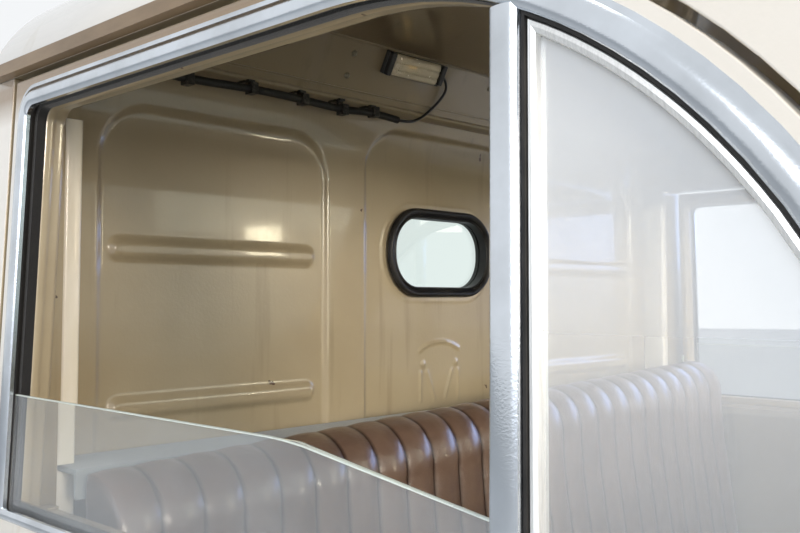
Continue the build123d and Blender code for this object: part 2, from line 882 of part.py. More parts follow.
# Rubber strip along the inside of the sill, against the glass
with BuildPart() as sill_seal_right:
    with BuildSketch(side_plane.offset(-glass_inset - glass_wall - run_play)):
        with Locations(((opening_rear_x + bar_x) / 2, sill_seal_height / 2)):
            Rectangle(bar_x - opening_rear_x, sill_seal_height)
    extrude(amount=-sill_seal_wall)
    add(door_shell_right.part, mode=Mode.SUBTRACT)
    add(quarter_light_right.part, mode=Mode.SUBTRACT)

# Ivory lock knob on its rod
knob_inset = 15
knob_x = opening_rear_x - knob_inset
knob_y = 33
knob_radius = 8
knob_height = 28
knob_draft = 6
knob_rod = 64
knob_rod_radius = 2.5
knob_plane = Plane((knob_x, -belt_half_width + knob_y, belt_z))
with BuildPart() as lock_knob_right:
    with BuildSketch(knob_plane):
        Circle(knob_rod_radius)
    extrude(amount=knob_rod)
    with BuildSketch(knob_plane.offset(knob_rod + knob_height)):
        Circle(knob_radius)
    extrude(amount=-knob_height, taper=knob_draft)

# Pull handle outside, release and winder handles inside
handle_inset = 122
handle_drop = 81
handle_x = door_rear_x + handle_inset
handle_z = belt_z - handle_drop
handle_length = 130
handle_height = 20
handle_wall = 12
handle_stand = 34
handle_foot_inset = 14
handle_foot = (18, 14)
with BuildPart() as outer_handle_right:
    with BuildSketch(Plane.XZ.offset(belt_half_width + handle_stand)):
        with Locations((handle_x, handle_z)):
            SlotOverall(handle_length, handle_height)
    extrude(amount=handle_wall)
    with BuildSketch(Plane.XZ.offset(belt_half_width + handle_stand)):
        for side in (-1, 1):
            with Locations((handle_x + side * (handle_length / 2 - handle_foot_inset), handle_z)):
                Rectangle(*handle_foot)
    extrude(amount=-2 * handle_stand)
    add(outer_form.part, mode=Mode.SUBTRACT)

inner_face = floor_half_width - side_wall
crank_stand = 40
crank_boss = 11
crank_width = 16
crank_wall = 9
winder_run = 35
winder_drop = 176
release_run = 49
release_drop = 126
# Window winder and door release: x, z, length, angle
cranks = (
    (bar_x - winder_run, belt_z - winder_drop, 110, 60),
    (opening_middle_x + release_run, belt_z - release_drop, 90, 0),
)
with BuildPart() as inner_handles_right:
    for place_x, place_z, length, angle in cranks:
        with BuildSketch(Plane.XZ.offset(inner_face - crank_stand)):
            with Locations((place_x, place_z)):
                Circle(crank_boss)
        extrude(amount=crank_stand + side_wall / 2)
        with BuildSketch(Plane.XZ.offset(inner_face - crank_stand)):
            with Locations(Location((place_x, place_z), angle)):
                with Locations((crank_width / 2 - length / 2, 0)):
                    SlotOverall(length, crank_width)
        extrude(amount=crank_wall)
    add(door_shell_right.part, mode=Mode.SUBTRACT)

# Hinges: pillar leaf with the pin, and door leaf turning on it
hinge_leaf_y = -hinge_y + hinge_leaf_inset + hinge_leaf_depth / 2
with BuildPart() as hinge_pillar_leaves:
    for hinge_z in hinge_zs:
        with BuildSketch(Plane.XY.offset(hinge_z), Plane.XY.offset(hinge_z + hinge_height * 2 / 3)):
            with Locations((hinge_x, -hinge_y)):
                Circle(hinge_knuckle_radius)
            with Locations((hinge_x + hinge_leaf_length / 2, hinge_leaf_y)):
                Rectangle(hinge_leaf_length, hinge_leaf_depth)
        extrude(amount=hinge_height / 3)
        with BuildSketch(Plane.XY.offset(hinge_z)):
            with Locations((hinge_x, -hinge_y)):
                Circle(hinge_pin_radius)
        extrude(amount=hinge_height)
    add(outer_form.part, mode=Mode.SUBTRACT)
    mirror(about=Plane.XZ)

with BuildPart() as hinge_leaves_right:
    for hinge_z in hinge_zs:
        with BuildSketch(Plane.XY.offset(hinge_z + hinge_height / 3 + sill_play)):
            with Locations((hinge_x, -hinge_y)):
                Circle(hinge_knuckle_radius)
            with Locations((hinge_x - hinge_leaf_length / 2, hinge_leaf_y)):
                Rectangle(hinge_leaf_length, hinge_leaf_depth)
            with Locations((hinge_x, -hinge_y)):
                Circle(hinge_pin_radius + hinge_pin_clearance, mode=Mode.SUBTRACT)
        extrude(amount=hinge_height / 3 - 2 * sill_play)
    add(outer_form.part, mode=Mode.SUBTRACT)

# Bench seat: sheet base, sprung cushion and tall back
base_front_x = cushion_rear_x + cushion_length
base_top_z = cushion_top_z - cushion_thickness
with BuildPart() as seat_base:
    with BuildSketch(Plane.XY.offset(floor_top)):
        with Locations(((base_rear_x + base_front_x) / 2, 0)):
            Rectangle(base_front_x - base_rear_x, 2 * (seat_half_width - base_inset))
            offset(amount=-base_wall, kind=Kind.INTERSECTION, mode=Mode.SUBTRACT)
    extrude(amount=base_top_z - floor_top)
    with BuildSketch(Plane.XY.offset(base_top_z)):
        with Locations(((base_rear_x + base_front_x) / 2, 0)):
            Rectangle(base_front_x - base_rear_x, 2 * (seat_half_width - base_inset))
    extrude(amount=-base_wall)
    add(floor_pan.part, mode=Mode.SUBTRACT)
    add(tunnel_form.part, mode=Mode.SUBTRACT)

pleat_count = round(2 * seat_half_width / pleat_pitch)
pleat_width = 2 * seat_half_width / pleat_count
seat_foot_z = base_top_z + sill_play
back_gap = 6
back_fall = 12
back_foot_inset = 8


def back_profile(pinch):
    """Side view of the seat back, thinner by the pinch in front and on top."""
    front_low = (cushion_rear_x - back_gap - pinch, seat_foot_z)
    front_high = (back_front_x - pinch, back_shoulder_z)
    rear_high = (back_rear_x, back_shoulder_z + back_fall)
    rear_low = (base_rear_x + back_foot_inset, seat_foot_z)
    with BuildSketch() as shape:
        with BuildLine():
            Line(front_low, front_high)
            ThreePointArc(front_high, (back_top_x, back_top_z - pinch), rear_high)
            Line(rear_high, rear_low)
            Line(rear_low, front_low)
        make_face()
    return shape.sketch


cushion_tuck = 14


def cushion_profile(pinch):
    """Side view of the cushion, thinner by the pinch on top and in front."""
    top = cushion_top_z - pinch
    front = cushion_rear_x + cushion_length - pinch
    with BuildSketch() as shape:
        with BuildLine():
            Line((cushion_rear_x, seat_foot_z), (cushion_rear_x, top - cushion_fall))
            Line((cushion_rear_x, top - cushion_fall), (front - cushion_edge, top))
            TangentArc(
                (front - cushion_edge, top),
                (front, top - cushion_edge),
                tangent=(cushion_length - cushion_edge, cushion_fall),
            )
            Line((front, top - cushion_edge), (front - cushion_tuck, seat_foot_z))
            Line((front - cushion_tuck, seat_foot_z), (cushion_rear_x, seat_foot_z))
        make_face()
    return shape.sketch


def pleated(profile):
    """Row of like padded rolls, pressed in along their seams."""
    with BuildPart() as pleat:
        for place, pinch in ((0, pleat_depth), (pleat_width / 2, 0), (pleat_width, pleat_depth)):
            with BuildSketch(Plane.XZ.offset(place)):
                add(profile(pinch))
        loft(ruled=True)
    with BuildPart() as row:
        with Locations([(0, seat_half_width - pleat_width * index, 0) for index in range(pleat_count)]):
            add(pleat.part)
    return row.part


with BuildPart() as seat_back:
    add(pleated(back_profile))

with BuildPart() as seat_cushion:
    add(pleated(cushion_profile))

# Instrument panel under the windscreen, with the seam of its glove box lid and the
# housing of its one round dial
seam_width = 3
dash_setback = 133
dash_drop = 130
dash_brow_drop = 10
dash_top_rise = 14
dash_root_rise = 8
dash_x = screen_base_x - dash_setback
dash_low_z = nose_z - dash_drop
dash_brow_z = nose_z - dash_brow_drop
dash_top_z = nose_z + dash_top_rise
dash_root_z = screen_base_z + dash_root_rise
dash_lean = 6
dash_brow = 12
dash_flange = 40
dash_reach = 60
dash_wall = 6
glove_width = 330
glove_height = 76
glove_corner = 14
glove_inset = 310
glove_y = inner_half - glove_inset
gauge_radius = 54
gauge_proud = 12
gauge_draft = 10
dash_face = Plane(
    origin=(dash_x - dash_lean / 2, 0, (dash_low_z + dash_brow_z) / 2),
    x_dir=(0, -1, 0),
    z_dir=(-(dash_brow_z - dash_low_z), 0, -dash_lean),
)
with BuildPart() as instrument_panel:
    with BuildSketch(Plane.XZ):
        with BuildLine():
            Polyline(
                (dash_x, dash_low_z),
                (dash_x - dash_lean, dash_brow_z),
                (dash_x + dash_brow, dash_top_z),
                (screen_base_x + dash_reach, dash_root_z),
                (screen_base_x + dash_reach, dash_root_z - 3 * dash_wall),
                (dash_x + dash_brow + dash_wall, dash_top_z - dash_wall),
                (dash_x - dash_lean + dash_wall, dash_brow_z),
                (dash_x + dash_wall, dash_low_z + dash_wall),
                (dash_x + dash_flange, dash_low_z + dash_wall),
                (dash_x + dash_flange, dash_low_z),
                close=True,
            )
        make_face()
    extrude(amount=inner_half, both=True)
    add(cavity.part, mode=Mode.INTERSECT)
    with BuildSketch(dash_face):
        with Locations((glove_y, 0)):
            RectangleRounded(glove_width, glove_height, glove_corner)
            RectangleRounded(
                glove_width - 2 * seam_width,
                glove_height - 2 * seam_width,
                glove_corner - seam_width,
                mode=Mode.SUBTRACT,
            )
    extrude(amount=-seam_width, mode=Mode.SUBTRACT)
    with BuildSketch(dash_face):
        with Locations((-wheel_y, 0)):
            Circle(gauge_radius)
    extrude(amount=gauge_proud, taper=gauge_draft)

# Steering column, its bracket, and the wheel with its shaft
column_plane = Plane(origin=on_column(0), x_dir=(0, 1, 0), z_dir=axis_dir)
with BuildPart() as steering_column:
    with BuildSketch(column_plane.offset(column_top)):
        Circle(column_radius)
    extrude(amount=column_end - column_top)
    with BuildSketch(column_plane):
        Circle(shaft_radius + shaft_clearance)
    extrude(amount=column_end - shaft_end_gap, mode=Mode.SUBTRACT)


def column_z(x):
    """Height of the steering axis above a place along the cab."""
    return wheel_centre_z - (x - wheel_centre_x) * math.tan(tilt)


bracket_width = 50
bracket_front = 4
bracket_rear = 38
bracket_low = 30
with BuildPart() as column_bracket:
    with BuildSketch(Plane.XZ.offset(-wheel_y - bracket_width / 2)):
        with BuildLine():
            Polyline(
                (dash_x + bracket_front, dash_low_z),
                (dash_x + bracket_rear, dash_low_z),
                (dash_x + bracket_low, column_z(dash_x + bracket_low)),
                (dash_x + bracket_front, column_z(dash_x + bracket_front)),
                close=True,
            )
        make_face()
    extrude(amount=bracket_width)
    with BuildSketch(column_plane.offset(column_top)):
        Circle(column_radius)
    extrude(amount=column_end - column_top, mode=Mode.SUBTRACT)

rim_plane = Plane(
    origin=on_column(rim_drop),
    x_dir=(0, 1, 0),
    z_dir=(math.sin(tilt), 0, math.cos(tilt)),
)
with BuildPart() as steering_wheel:
    with BuildSketch(column_plane):
        Circle(hub_radius)
    extrude(amount=column_top - shut_gap)
    with BuildSketch(column_plane):
        Circle(shaft_radius)
    extrude(amount=column_end - 2 * shaft_end_gap)
    with BuildSketch(column_plane.offset(spoke_drop)):
        for turn in (90, 210, 330):
            with Locations(Location((0, 0), turn)):
                with Locations((wheel_radius / 2, 0)):
                    Rectangle(wheel_radius, spoke_width)
    extrude(amount=spoke_wall)
    with BuildSketch(rim_plane):
        with Locations((wheel_radius, 0)):
            RegularPolygon(rim_radius, rim_sides)
    revolve(axis=Axis(on_column(rim_drop), axis_dir), revolution_arc=360)

# Pedals, gear lever and handbrake
pedal_reach = 90
pedal_drop = 20
pedal_height = 60
pedal_wall = 10
pedal_rod_radius = 8
# Accelerator, brake and clutch: place beside the column, width
pedal_pads = ((-190, 44), (-90, 66), (90, 66))
with BuildPart() as pedals:
    for pedal_y, pedal_width in pedal_pads:
        with BuildSketch(column_plane.offset(column_end - pedal_reach)):
            with Locations((pedal_y, pedal_drop)):
                Rectangle(pedal_width, pedal_height)
        extrude(amount=pedal_wall)
        with BuildSketch(column_plane.offset(column_end - pedal_reach + pedal_wall)):
            with Locations((pedal_y, pedal_drop)):
                Circle(pedal_rod_radius)
        extrude(amount=pedal_reach - pedal_wall)

lever_rake = 17
lever_length = 350
lever_radius = 7
boot_radius = 34
boot_height = 20
lever_knob_radius = 24
lever_knob_draft = 23
lever_knob_low = 24
lever_knob_high = 16
lever_setback = 22
lever_plane = Plane((dash_x - lever_setback, 0, floor_top + tunnel_height)).rotated((0, -lever_rake, 0))
with BuildPart() as gear_lever:
    with BuildSketch(Plane(lever_plane.origin)):
        Circle(boot_radius)
    extrude(amount=boot_height)
    with BuildSketch(lever_plane):
        Circle(lever_radius)
    extrude(amount=lever_length + lever_knob_low)
    add(tunnel_form.part, mode=Mode.SUBTRACT)
    with BuildSketch(lever_plane.offset(lever_length + lever_knob_low)):
        Circle(lever_knob_radius)
    extrude(amount=-lever_knob_low, taper=lever_knob_draft)
    with BuildSketch(lever_plane.offset(lever_length + lever_knob_low)):
        Circle(lever_knob_radius)
    extrude(amount=lever_knob_high, taper=1.5 * lever_knob_draft)

brake_run = 38
brake_inset = 180
brake_foot = (dash_x + brake_run, wheel_y - brake_inset, floor_top)
brake_width = 30
brake_box = 60
brake_rise = 40
brake_rake = 31
brake_radius = 9
brake_length = 260
brake_plane = Plane(origin=(*brake_foot[:2], floor_top + brake_rise)).rotated((0, -brake_rake, 0))
with BuildPart() as handbrake:
    with BuildSketch(Plane(brake_foot)):
        Rectangle(brake_box, brake_width)
    extrude(amount=brake_box)
    with BuildSketch(brake_plane):
        Circle(brake_radius)
    extrude(amount=brake_length)

# Wiring loom taped in black, clipped under the rail, with the lamp's lead at its end
clip_width = 10
loom_radius = 4
loom_x = rail_low[0] + 6
loom_z = bulkhead_top_z - 12
loom_points = (
    (loom_x, -600, loom_z - 2),
    (loom_x, -500, loom_z - 3),
    (loom_x, -410, loom_z + 1),
    (loom_x, -330, loom_z),
    (loom_x, -262, loom_z - 3),
    (loom_x, -205, loom_z + 2),
    (loom_x, -158, loom_z - 2),
)
wire_points = (
    (loom_x, -158, loom_z - 2),
    (loom_x, -134, loom_z - 2),
    (loom_x, -112, loom_z + 6),
    (loom_x + 2, -93, loom_z + 20),
    (loom_x + 12, -79, loom_z + 38),
    (loom_x + 26, -80, loom_z + 54),
    (loom_x + 32, -97, loom_z + 64),
)


def tube(points, radius):
    """Eight-sided tube along straight runs joined by arcs as large as the runs allow."""
    radii = []
    for before, here, after in zip(points, points[1:], points[2:]):
        run_in = Vector(*here) - Vector(*before)
        run_out = Vector(*after) - Vector(*here)
        turn = math.radians(run_in.get_angle(run_out))
        radii.append(0.45 * min(run_in.length, run_out.length) / math.tan(turn / 2))
    print("arc radii", [round(value) for value in radii])
    with BuildPart() as piece:
        with BuildLine() as path:
            FilletPolyline(*points, radius=radii)
        start = path.edges()[0]
        with BuildSketch(Plane(origin=start @ 0, z_dir=start % 0)) as section:
            RegularPolygon(radius, 8)
        sweep(path=path.line)
    length = sum(edge.length for edge in path.edges())
    ratio = piece.part.volume / (section.sketch.area * length)
    print("tube length", round(length), "volume ratio", round(ratio, 4))
    return piece.part


with BuildPart() as wiring_loom:
    add(tube(loom_points, loom_radius))

with BuildPart() as lamp_wire:
    add(tube(wire_points, wire_radius))
    add(wiring_loom.part, mode=Mode.SUBTRACT)
    add(cabin_lamp_base.part, mode=Mode.SUBTRACT)

clip_wall = 3
clip_reach = 24
with BuildPart() as loom_clips:
    for x, y, z in loom_points[1:-1]:
        with BuildSketch(Plane.XZ.offset(-y - clip_width / 2)):
            with Locations((x, z)):
                Rectangle(2 * (loom_radius + clip_wall), 2 * (loom_radius + clip_wall))
            with Locations((x - loom_radius - clip_wall / 2, (z + bulkhead_top_z) / 2)):
                Rectangle(clip_wall, bulkhead_top_z - z)
            with Locations((x - clip_reach / 2, bulkhead_top_z - clip_wall / 2)):
                Rectangle(clip_reach, clip_wall)
        extrude(amount=clip_width)
    add(wiring_loom.part, mode=Mode.SUBTRACT)
    add(rear_header_rail.part, mode=Mode.SUBTRACT)

# Rain gutter along each side of the roof
gutter_reach = 12
gutter_root = 4
gutter_wall = 3
gutter_lip = 2
gutter_start = 30
with BuildPart() as drip_gutters:
    with BuildSketch(Plane.YZ.offset(rear_x + gutter_start)):
        with BuildLine():
            Polyline(
                (-gutter_half_width + gutter_root, gutter_z),
                (-gutter_half_width - gutter_reach, gutter_z),
                (-gutter_half_width - gutter_reach, gutter_z + gutter_reach),
                (-gutter_half_width - gutter_reach + gutter_lip, gutter_z + gutter_reach),
                (-gutter_half_width - gutter_reach + gutter_lip, gutter_z + gutter_wall),
                (-gutter_half_width + gutter_root, gutter_z + gutter_wall),
                close=True,
            )
        make_face()
    extrude(amount=split_x - rear_x - gutter_start - gutter_reach)
    add(outer_form.part, mode=Mode.SUBTRACT)
    mirror(about=Plane.XZ)

# Four rubber body mounts bonded under the floor
with BuildPart() as body_mounts:
    with BuildSketch(Plane.XY):
        with GridLocations(2 * mount_x, 2 * mount_y, 2, 2):
            Rectangle(2 * mount_radius, 2 * mount_radius)
            Circle(mount_hole, mode=Mode.SUBTRACT)
    extrude(amount=floor_z)

root_pieces = dict(
    floor_pan=floor_pan, body_mounts=body_mounts, firewall=firewall, cowl_panel=cowl_panel,
    cowl_sides=cowl_sides, windscreen_frame=windscreen_frame, windscreen_glass=windscreen_glass,
    windscreen_seal=windscreen_seal,
    roof_panel=roof_panel, drip_gutters=drip_gutters, door_pillars=door_pillars,
    rear_bulkhead=rear_bulkhead, rear_window_seal=rear_window_seal,
    rear_window_glass=rear_window_glass, parcel_ledge=parcel_ledge,
    rear_header_rail=rear_header_rail, cabin_lamp_base=cabin_lamp_base,
    cabin_lamp_lens=cabin_lamp_lens, wiring_loom=wiring_loom, lamp_wire=lamp_wire, loom_clips=loom_clips,
    hinge_pillar_leaves=hinge_pillar_leaves, seat_base=seat_base, seat_cushion=seat_cushion,
    seat_back=seat_back, instrument_panel=instrument_panel, steering_column=steering_column,
    column_bracket=column_bracket, steering_wheel=steering_wheel, pedals=pedals,
    gear_lever=gear_lever, handbrake=handbrake,
)
door_pieces = dict(
    door_shell=door_shell_right, window_surround=window_surround_right,
    glass_run=glass_run_right, window_glass=window_glass_right,
    quarter_light=quarter_light_right, quarter_glass=quarter_glass_right,
    sill_seal=sill_seal_right, lock_knob=lock_knob_right, outer_handle=outer_handle_right,
    inner_handles=inner_handles_right, hinge_leaves=hinge_leaves_right,
)

for name, piece in root_pieces.items():
    piece.part.label = name
    export_step(piece.part, f"parts/{name}.step")

# The left door is the right one mirrored
for name, piece in door_pieces.items():
    with BuildPart() as left_piece:
        mirror(piece.part, about=Plane.XZ)
    for side, solid in (("right", piece.part), ("left", left_piece.part)):
        solid.label = f"{name}_{side}"
        export_step(solid, f"parts/{name}_{side}.step")
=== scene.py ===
import math

import bmesh
import bpy
import numpy as np
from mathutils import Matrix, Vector, noise


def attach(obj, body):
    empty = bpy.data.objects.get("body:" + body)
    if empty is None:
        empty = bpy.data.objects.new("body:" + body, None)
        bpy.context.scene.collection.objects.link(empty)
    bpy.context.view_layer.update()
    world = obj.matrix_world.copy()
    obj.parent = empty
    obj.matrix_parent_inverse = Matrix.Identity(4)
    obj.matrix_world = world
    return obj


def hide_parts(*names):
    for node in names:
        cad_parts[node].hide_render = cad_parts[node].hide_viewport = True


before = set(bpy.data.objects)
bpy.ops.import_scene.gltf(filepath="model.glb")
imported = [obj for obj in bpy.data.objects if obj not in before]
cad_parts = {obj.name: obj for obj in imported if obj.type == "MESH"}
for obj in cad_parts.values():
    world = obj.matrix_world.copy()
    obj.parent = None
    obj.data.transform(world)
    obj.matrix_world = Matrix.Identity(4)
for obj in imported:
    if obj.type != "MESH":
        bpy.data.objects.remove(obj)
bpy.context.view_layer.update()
scene = bpy.context.scene

# Camera: it stands just outside the half-open right-hand window, where the photograph
# was taken, and looks left and to the rear, two degrees upwards.
image_width = 800
focal_pixels = 925
camera = bpy.data.objects.new("camera", bpy.data.cameras.new("camera"))
camera.location = (0.270, -1.083, 0.941)
camera.rotation_euler = (math.radians(92.0), 0, math.radians(43.9))
camera.data.sensor_fit = "HORIZONTAL"
camera.data.lens = camera.data.sensor_width * focal_pixels / image_width
camera.data.clip_start = 0.02
scene.collection.objects.link(camera)
scene.camera = camera
scene.view_settings.view_transform = "Standard"


# Studio: a pale floor under a pale surround, which metal, glass and the camera see at full
# brightness, while the object is lit by a cool world, three soft lamps and one low warm one.
def srgb(code):
    """Linear colour of an sRGB hex value."""
    parts = [int(code[place:place + 2], 16) / 255 for place in (1, 3, 5)]
    linear = [part / 12.92 if part <= 0.04045 else ((part + 0.055) / 1.055) ** 2.4 for part in parts]
    return (*linear, 1.0)


def add_node(tree, kind, values=None, links=None, **settings):
    """Adds a shader node with its settings, its socket values and its links."""
    made = tree.nodes.new(kind)
    for name, value in settings.items():
        setattr(made, name, value)
    for socket, value in (values or {}).items():
        made.inputs[socket].default_value = value
    for socket, source in (links or {}).items():
        tree.links.new(source, made.inputs[socket])
    return made


world = bpy.data.worlds.new("studio")
scene.world = world
world.use_nodes = True
tree = world.node_tree
tree.nodes.clear()
path = add_node(tree, "ShaderNodeLightPath")
seen = add_node(
    tree, "ShaderNodeMath", operation="MAXIMUM",
    links={0: path.outputs["Is Camera Ray"], 1: path.outputs["Is Glossy Ray"]},
)
seen = add_node(
    tree, "ShaderNodeMath", operation="MAXIMUM",
    links={0: seen.outputs[0], 1: path.outputs["Is Transmission Ray"]},
)
light = add_node(tree, "ShaderNodeBackground", {"Color": srgb("#DCE6F2"), "Strength": 0.55})
surround = add_node(tree, "ShaderNodeBackground", {"Color": srgb("#F4F6F8"), "Strength": 1.0})
both = add_node(
    tree, "ShaderNodeMixShader", links={0: seen.outputs[0], 1: light.outputs[0], 2: surround.outputs[0]}
)
add_node(tree, "ShaderNodeOutputWorld", links={"Surface": both.outputs[0]})

floor_finish = bpy.data.materials.new("studio_floor")
floor_finish.use_nodes = True
floor_finish.node_tree.nodes["Principled BSDF"].inputs["Base Color"].default_value = srgb("#E9E8E5")
floor_finish.node_tree.nodes["Principled BSDF"].inputs["Roughness"].default_value = 0.8
tree = floor_finish.node_tree
spot = add_node(tree, "ShaderNodeNewGeometry")
reach = add_node(tree, "ShaderNodeVectorMath", links={0: spot.outputs["Position"]}, operation="LENGTH")
fading = add_node(
    tree, "ShaderNodeMapRange", {"From Min": 1.8, "From Max": 5.0}, {"Value": reach.outputs["Value"]},
    interpolation_type="SMOOTHSTEP",
)
path = add_node(tree, "ShaderNodeLightPath")
faded = add_node(
    tree, "ShaderNodeMath", links={0: fading.outputs[0], 1: path.outputs["Is Camera Ray"]}, operation="MULTIPLY"
)
backdrop = add_node(tree, "ShaderNodeEmission", {"Color": srgb("#F4F6F8")})
both = add_node(tree, "ShaderNodeMixShader", links={
    0: faded.outputs[0], 1: tree.nodes["Principled BSDF"].outputs[0], 2: backdrop.outputs[0],
})
tree.links.new(both.outputs[0], tree.nodes["Material Output"].inputs["Surface"])
bpy.ops.mesh.primitive_circle_add(vertices=64, radius=30, fill_type="NGON", location=(0, 0, -0.001))
floor = bpy.context.object
floor.name = "studio_floor"
floor.data.materials.append(floor_finish)

for name, place, size, power, colour in (
    ("key", (3.6, 3.4, 2.6), 2.4, 36, "#FFF1DC"),
    ("low_sun", (9.1, -2.9, 2.5), 1.9, 400, "#FFF1E0"),
    ("glint", (3.45, 2.85, 1.32), 0.24, 10, "#FFE9CC"),
    ("fill", (1.6, -4.2, 2.6), 3.0, 118, "#F3F6FF"),
    ("top", (-1.0, 0.4, 4.6), 3.0, 50, "#FFFFFF"),
):
    lamp = bpy.data.objects.new(name, bpy.data.lights.new(name, "AREA"))
    lamp.data.size = size
    lamp.data.energy = power
    lamp.data.color = srgb(colour)[:3]
    lamp.location = place
    lamp.rotation_euler = (Vector((-0.1, 0, 0.8)) - Vector(place)).to_track_quat("-Z", "Y").to_euler()
    scene.collection.objects.link(lamp)

# Cool window light beyond the left-hand door, seen only in the gloss of paint and leathercloth
gleam = bpy.data.objects.new("gleam", bpy.data.lights.new("gleam", "AREA"))
gleam.data.shape = "RECTANGLE"
gleam.data.size, gleam.data.size_y = 2.2, 1.0
gleam.data.energy = 24
gleam.data.color = srgb("#8FB6FF")[:3]
gleam.location = (-0.1, 2.6, 1.55)
gleam.rotation_euler = (Vector((-0.5, 0, 0.9)) - gleam.location).to_track_quat("-Z", "Y").to_euler()
gleam.visible_diffuse = False
gleam.visible_transmission = False
scene.collection.objects.link(gleam)


# Wiring loom: rubber-covered wires bound in black cloth tape, clipped under the rail above
# the bulkhead, with the lamp's own thin lead curling out of its end up to the lamp.
def finish_of(name, **sockets):
    """A new material with values on its shader's sockets: the material, its tree and its shader."""
    material = bpy.data.materials.new(name)
    material.use_nodes = True
    shader = material.node_tree.nodes["Principled BSDF"]
    for socket, value in sockets.items():
        shader.inputs[socket.replace("_", " ")].default_value = value
    return material, material.node_tree, shader


def place_in(tree, scale=(1, 1, 1)):
    """Place on the object in metres, stretched by a scale."""
    place = add_node(tree, "ShaderNodeTexCoord")
    return add_node(
        tree, "ShaderNodeMapping", {"Scale": scale}, {"Vector": place.outputs["Object"]}
    ).outputs[0]


def bumped(tree, shader, height, distance, strength=1.0, before=None):
    """Adds a bump of a real depth in metres to the shader, over an earlier one."""
    links = {"Height": height}
    if before:
        links["Normal"] = before
    bump = add_node(
        tree, "ShaderNodeBump", {"Strength": strength, "Distance": distance}, links
    )
    tree.links.new(bump.outputs[0], shader.inputs["Normal"])
    return bump.outputs[0]


# Friction tape: matt black woven cotton in tar, wound with a lap every 14 mm
friction_tape, tree, shader = finish_of("friction_tape", Base_Color=srgb("#14130F"), Roughness=0.62)
lap = add_node(
    tree, "ShaderNodeTexWave", {"Scale": 0.314, "Distortion": 0.6, "Detail": 1.0},
    {"Vector": place_in(tree, (8, 71, 20))}, bands_direction="Y", wave_profile="SAW",
)
bumped(tree, shader, lap.outputs["Fac"], 0.0006)

# Cable rubber: black and slightly shiny, with a fine grain
cable_rubber, tree, shader = finish_of("cable_rubber", Base_Color=srgb("#0F0E0D"), Roughness=0.42)
grime = add_node(tree, "ShaderNodeTexNoise", {"Scale": 400.0}, {"Vector": place_in(tree)})
bumped(tree, shader, grime.outputs["Fac"], 0.0002)

rail_lip_x = -0.631
loom_x = rail_lip_x + 0.006
loom_z = 1.193
loom_route = (
    (0, -0.600, -0.002), (0, -0.500, -0.003), (0, -0.410, 0.001), (0, -0.330, 0),
    (0, -0.262, -0.003), (0, -0.205, 0.002), (0, -0.158, -0.002),
)
lead_route = (
    (0, -0.158, -0.002), (0, -0.134, -0.002), (0, -0.112, 0.006), (0.002, -0.093, 0.020),
    (0.012, -0.079, 0.038), (0.026, -0.080, 0.054), (0.032, -0.097, 0.064),
)


def wire(name, route, radius, finish):
    """Smooth round wire along a route given from the loom's line."""
    data = bpy.data.curves.new(name, "CURVE")
    data.dimensions = "3D"
    data.bevel_depth = radius
    data.bevel_resolution = 4
    data.resolution_u = 10
    data.use_fill_caps = True
    line = data.splines.new("NURBS")
    line.points.add(len(route) - 1)
    for point, (x, y, z) in zip(line.points, route):
        point.co = (loom_x + x, y, loom_z + z, 1)
    line.order_u = 3
    line.use_endpoint_u = True
    data.materials.append(finish)
    piece = bpy.data.objects.new(name, data)
    scene.collection.objects.link(piece)
    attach(piece, "root")
    return piece


loom = wire("taped_loom", loom_route, 0.005, friction_tape)
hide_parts("wiring_loom")
lead = wire("lamp_lead", lead_route, 0.002, cable_rubber)
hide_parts("lamp_wire")


# Body shell: pressed steel sheet, spot-welded together and sprayed cream inside and out.
# Its joints are folded flanges, so every edge of the sheet is rounded.
def meets(tree, low, high, value):
    """Nothing below low, all above high."""
    return add_node(
        tree, "ShaderNodeMapRange", {"From Min": low, "From Max": high}, {"Value": value}
    ).outputs[0]


def blended(tree, share, first, second):
    """Colour between two, each a hex value or a socket, by a share."""
    made = add_node(tree, "ShaderNodeMix", links={"Factor": share}, data_type="RGBA")
    for socket, colour in zip(made.inputs[6:8], (first, second)):
        if isinstance(colour, str):
            socket.default_value = srgb(colour)
        else:
            tree.links.new(colour, socket)
    return made.outputs[2]


# Cellulose enamel: sprayed thick, so it shines through a slight orange peel, with soft dirt in
# patches and a few chips down to rust. Its colour also carries painted light: faces turned out of
# the cab get a pale copy of the cream as painted sunlight and faces turned in a darker copy as
# painted shade, the inside darkens towards the roof as painted shade, and a brown band under the
# side gutters outside is painted shade.
cream_enamel, tree, shader = finish_of(
    "cream_enamel", Roughness=0.3, Coat_Weight=0.9, Coat_Roughness=0.05, Coat_IOR=1.5
)
place = place_in(tree)
patches = add_node(tree, "ShaderNodeTexNoise", {"Scale": 5.0, "Detail": 5.0}, {"Vector": place})
streaks = add_node(
    tree, "ShaderNodeTexNoise", {"Scale": 1.0, "Detail": 4.0}, {"Vector": place_in(tree, (40, 40, 3))}
)
chips = add_node(tree, "ShaderNodeTexNoise", {"Scale": 38.0, "Detail": 3.0}, {"Vector": place})
facing = add_node(tree, "ShaderNodeNewGeometry")
outwards = add_node(
    tree, "ShaderNodeVectorMath", {1: (-0.1, 0, 0.8)}, {0: facing.outputs["Position"]}, operation="SUBTRACT"
)
outwards = add_node(
    tree, "ShaderNodeVectorMath", links={0: outwards.outputs[0], 1: facing.outputs["True Normal"]},
    operation="DOT_PRODUCT",
)
# Faces turned into the cab: a darker copy of the cream, as painted shade
inside = blended(tree, meets(tree, 0.35, 0.7, patches.outputs["Fac"]), "#AE9F82", "#A39375")
inside = blended(tree, meets(tree, 0.6, 0.9, streaks.outputs["Fac"]), inside, "#8A7B60")
height = add_node(tree, "ShaderNodeSeparateXYZ", links={"Vector": place})
# Inside, darker towards the roof: painted shade
inside = blended(tree, meets(tree, 1.02, 1.42, height.outputs["Z"]), inside, "#4F3F2B")
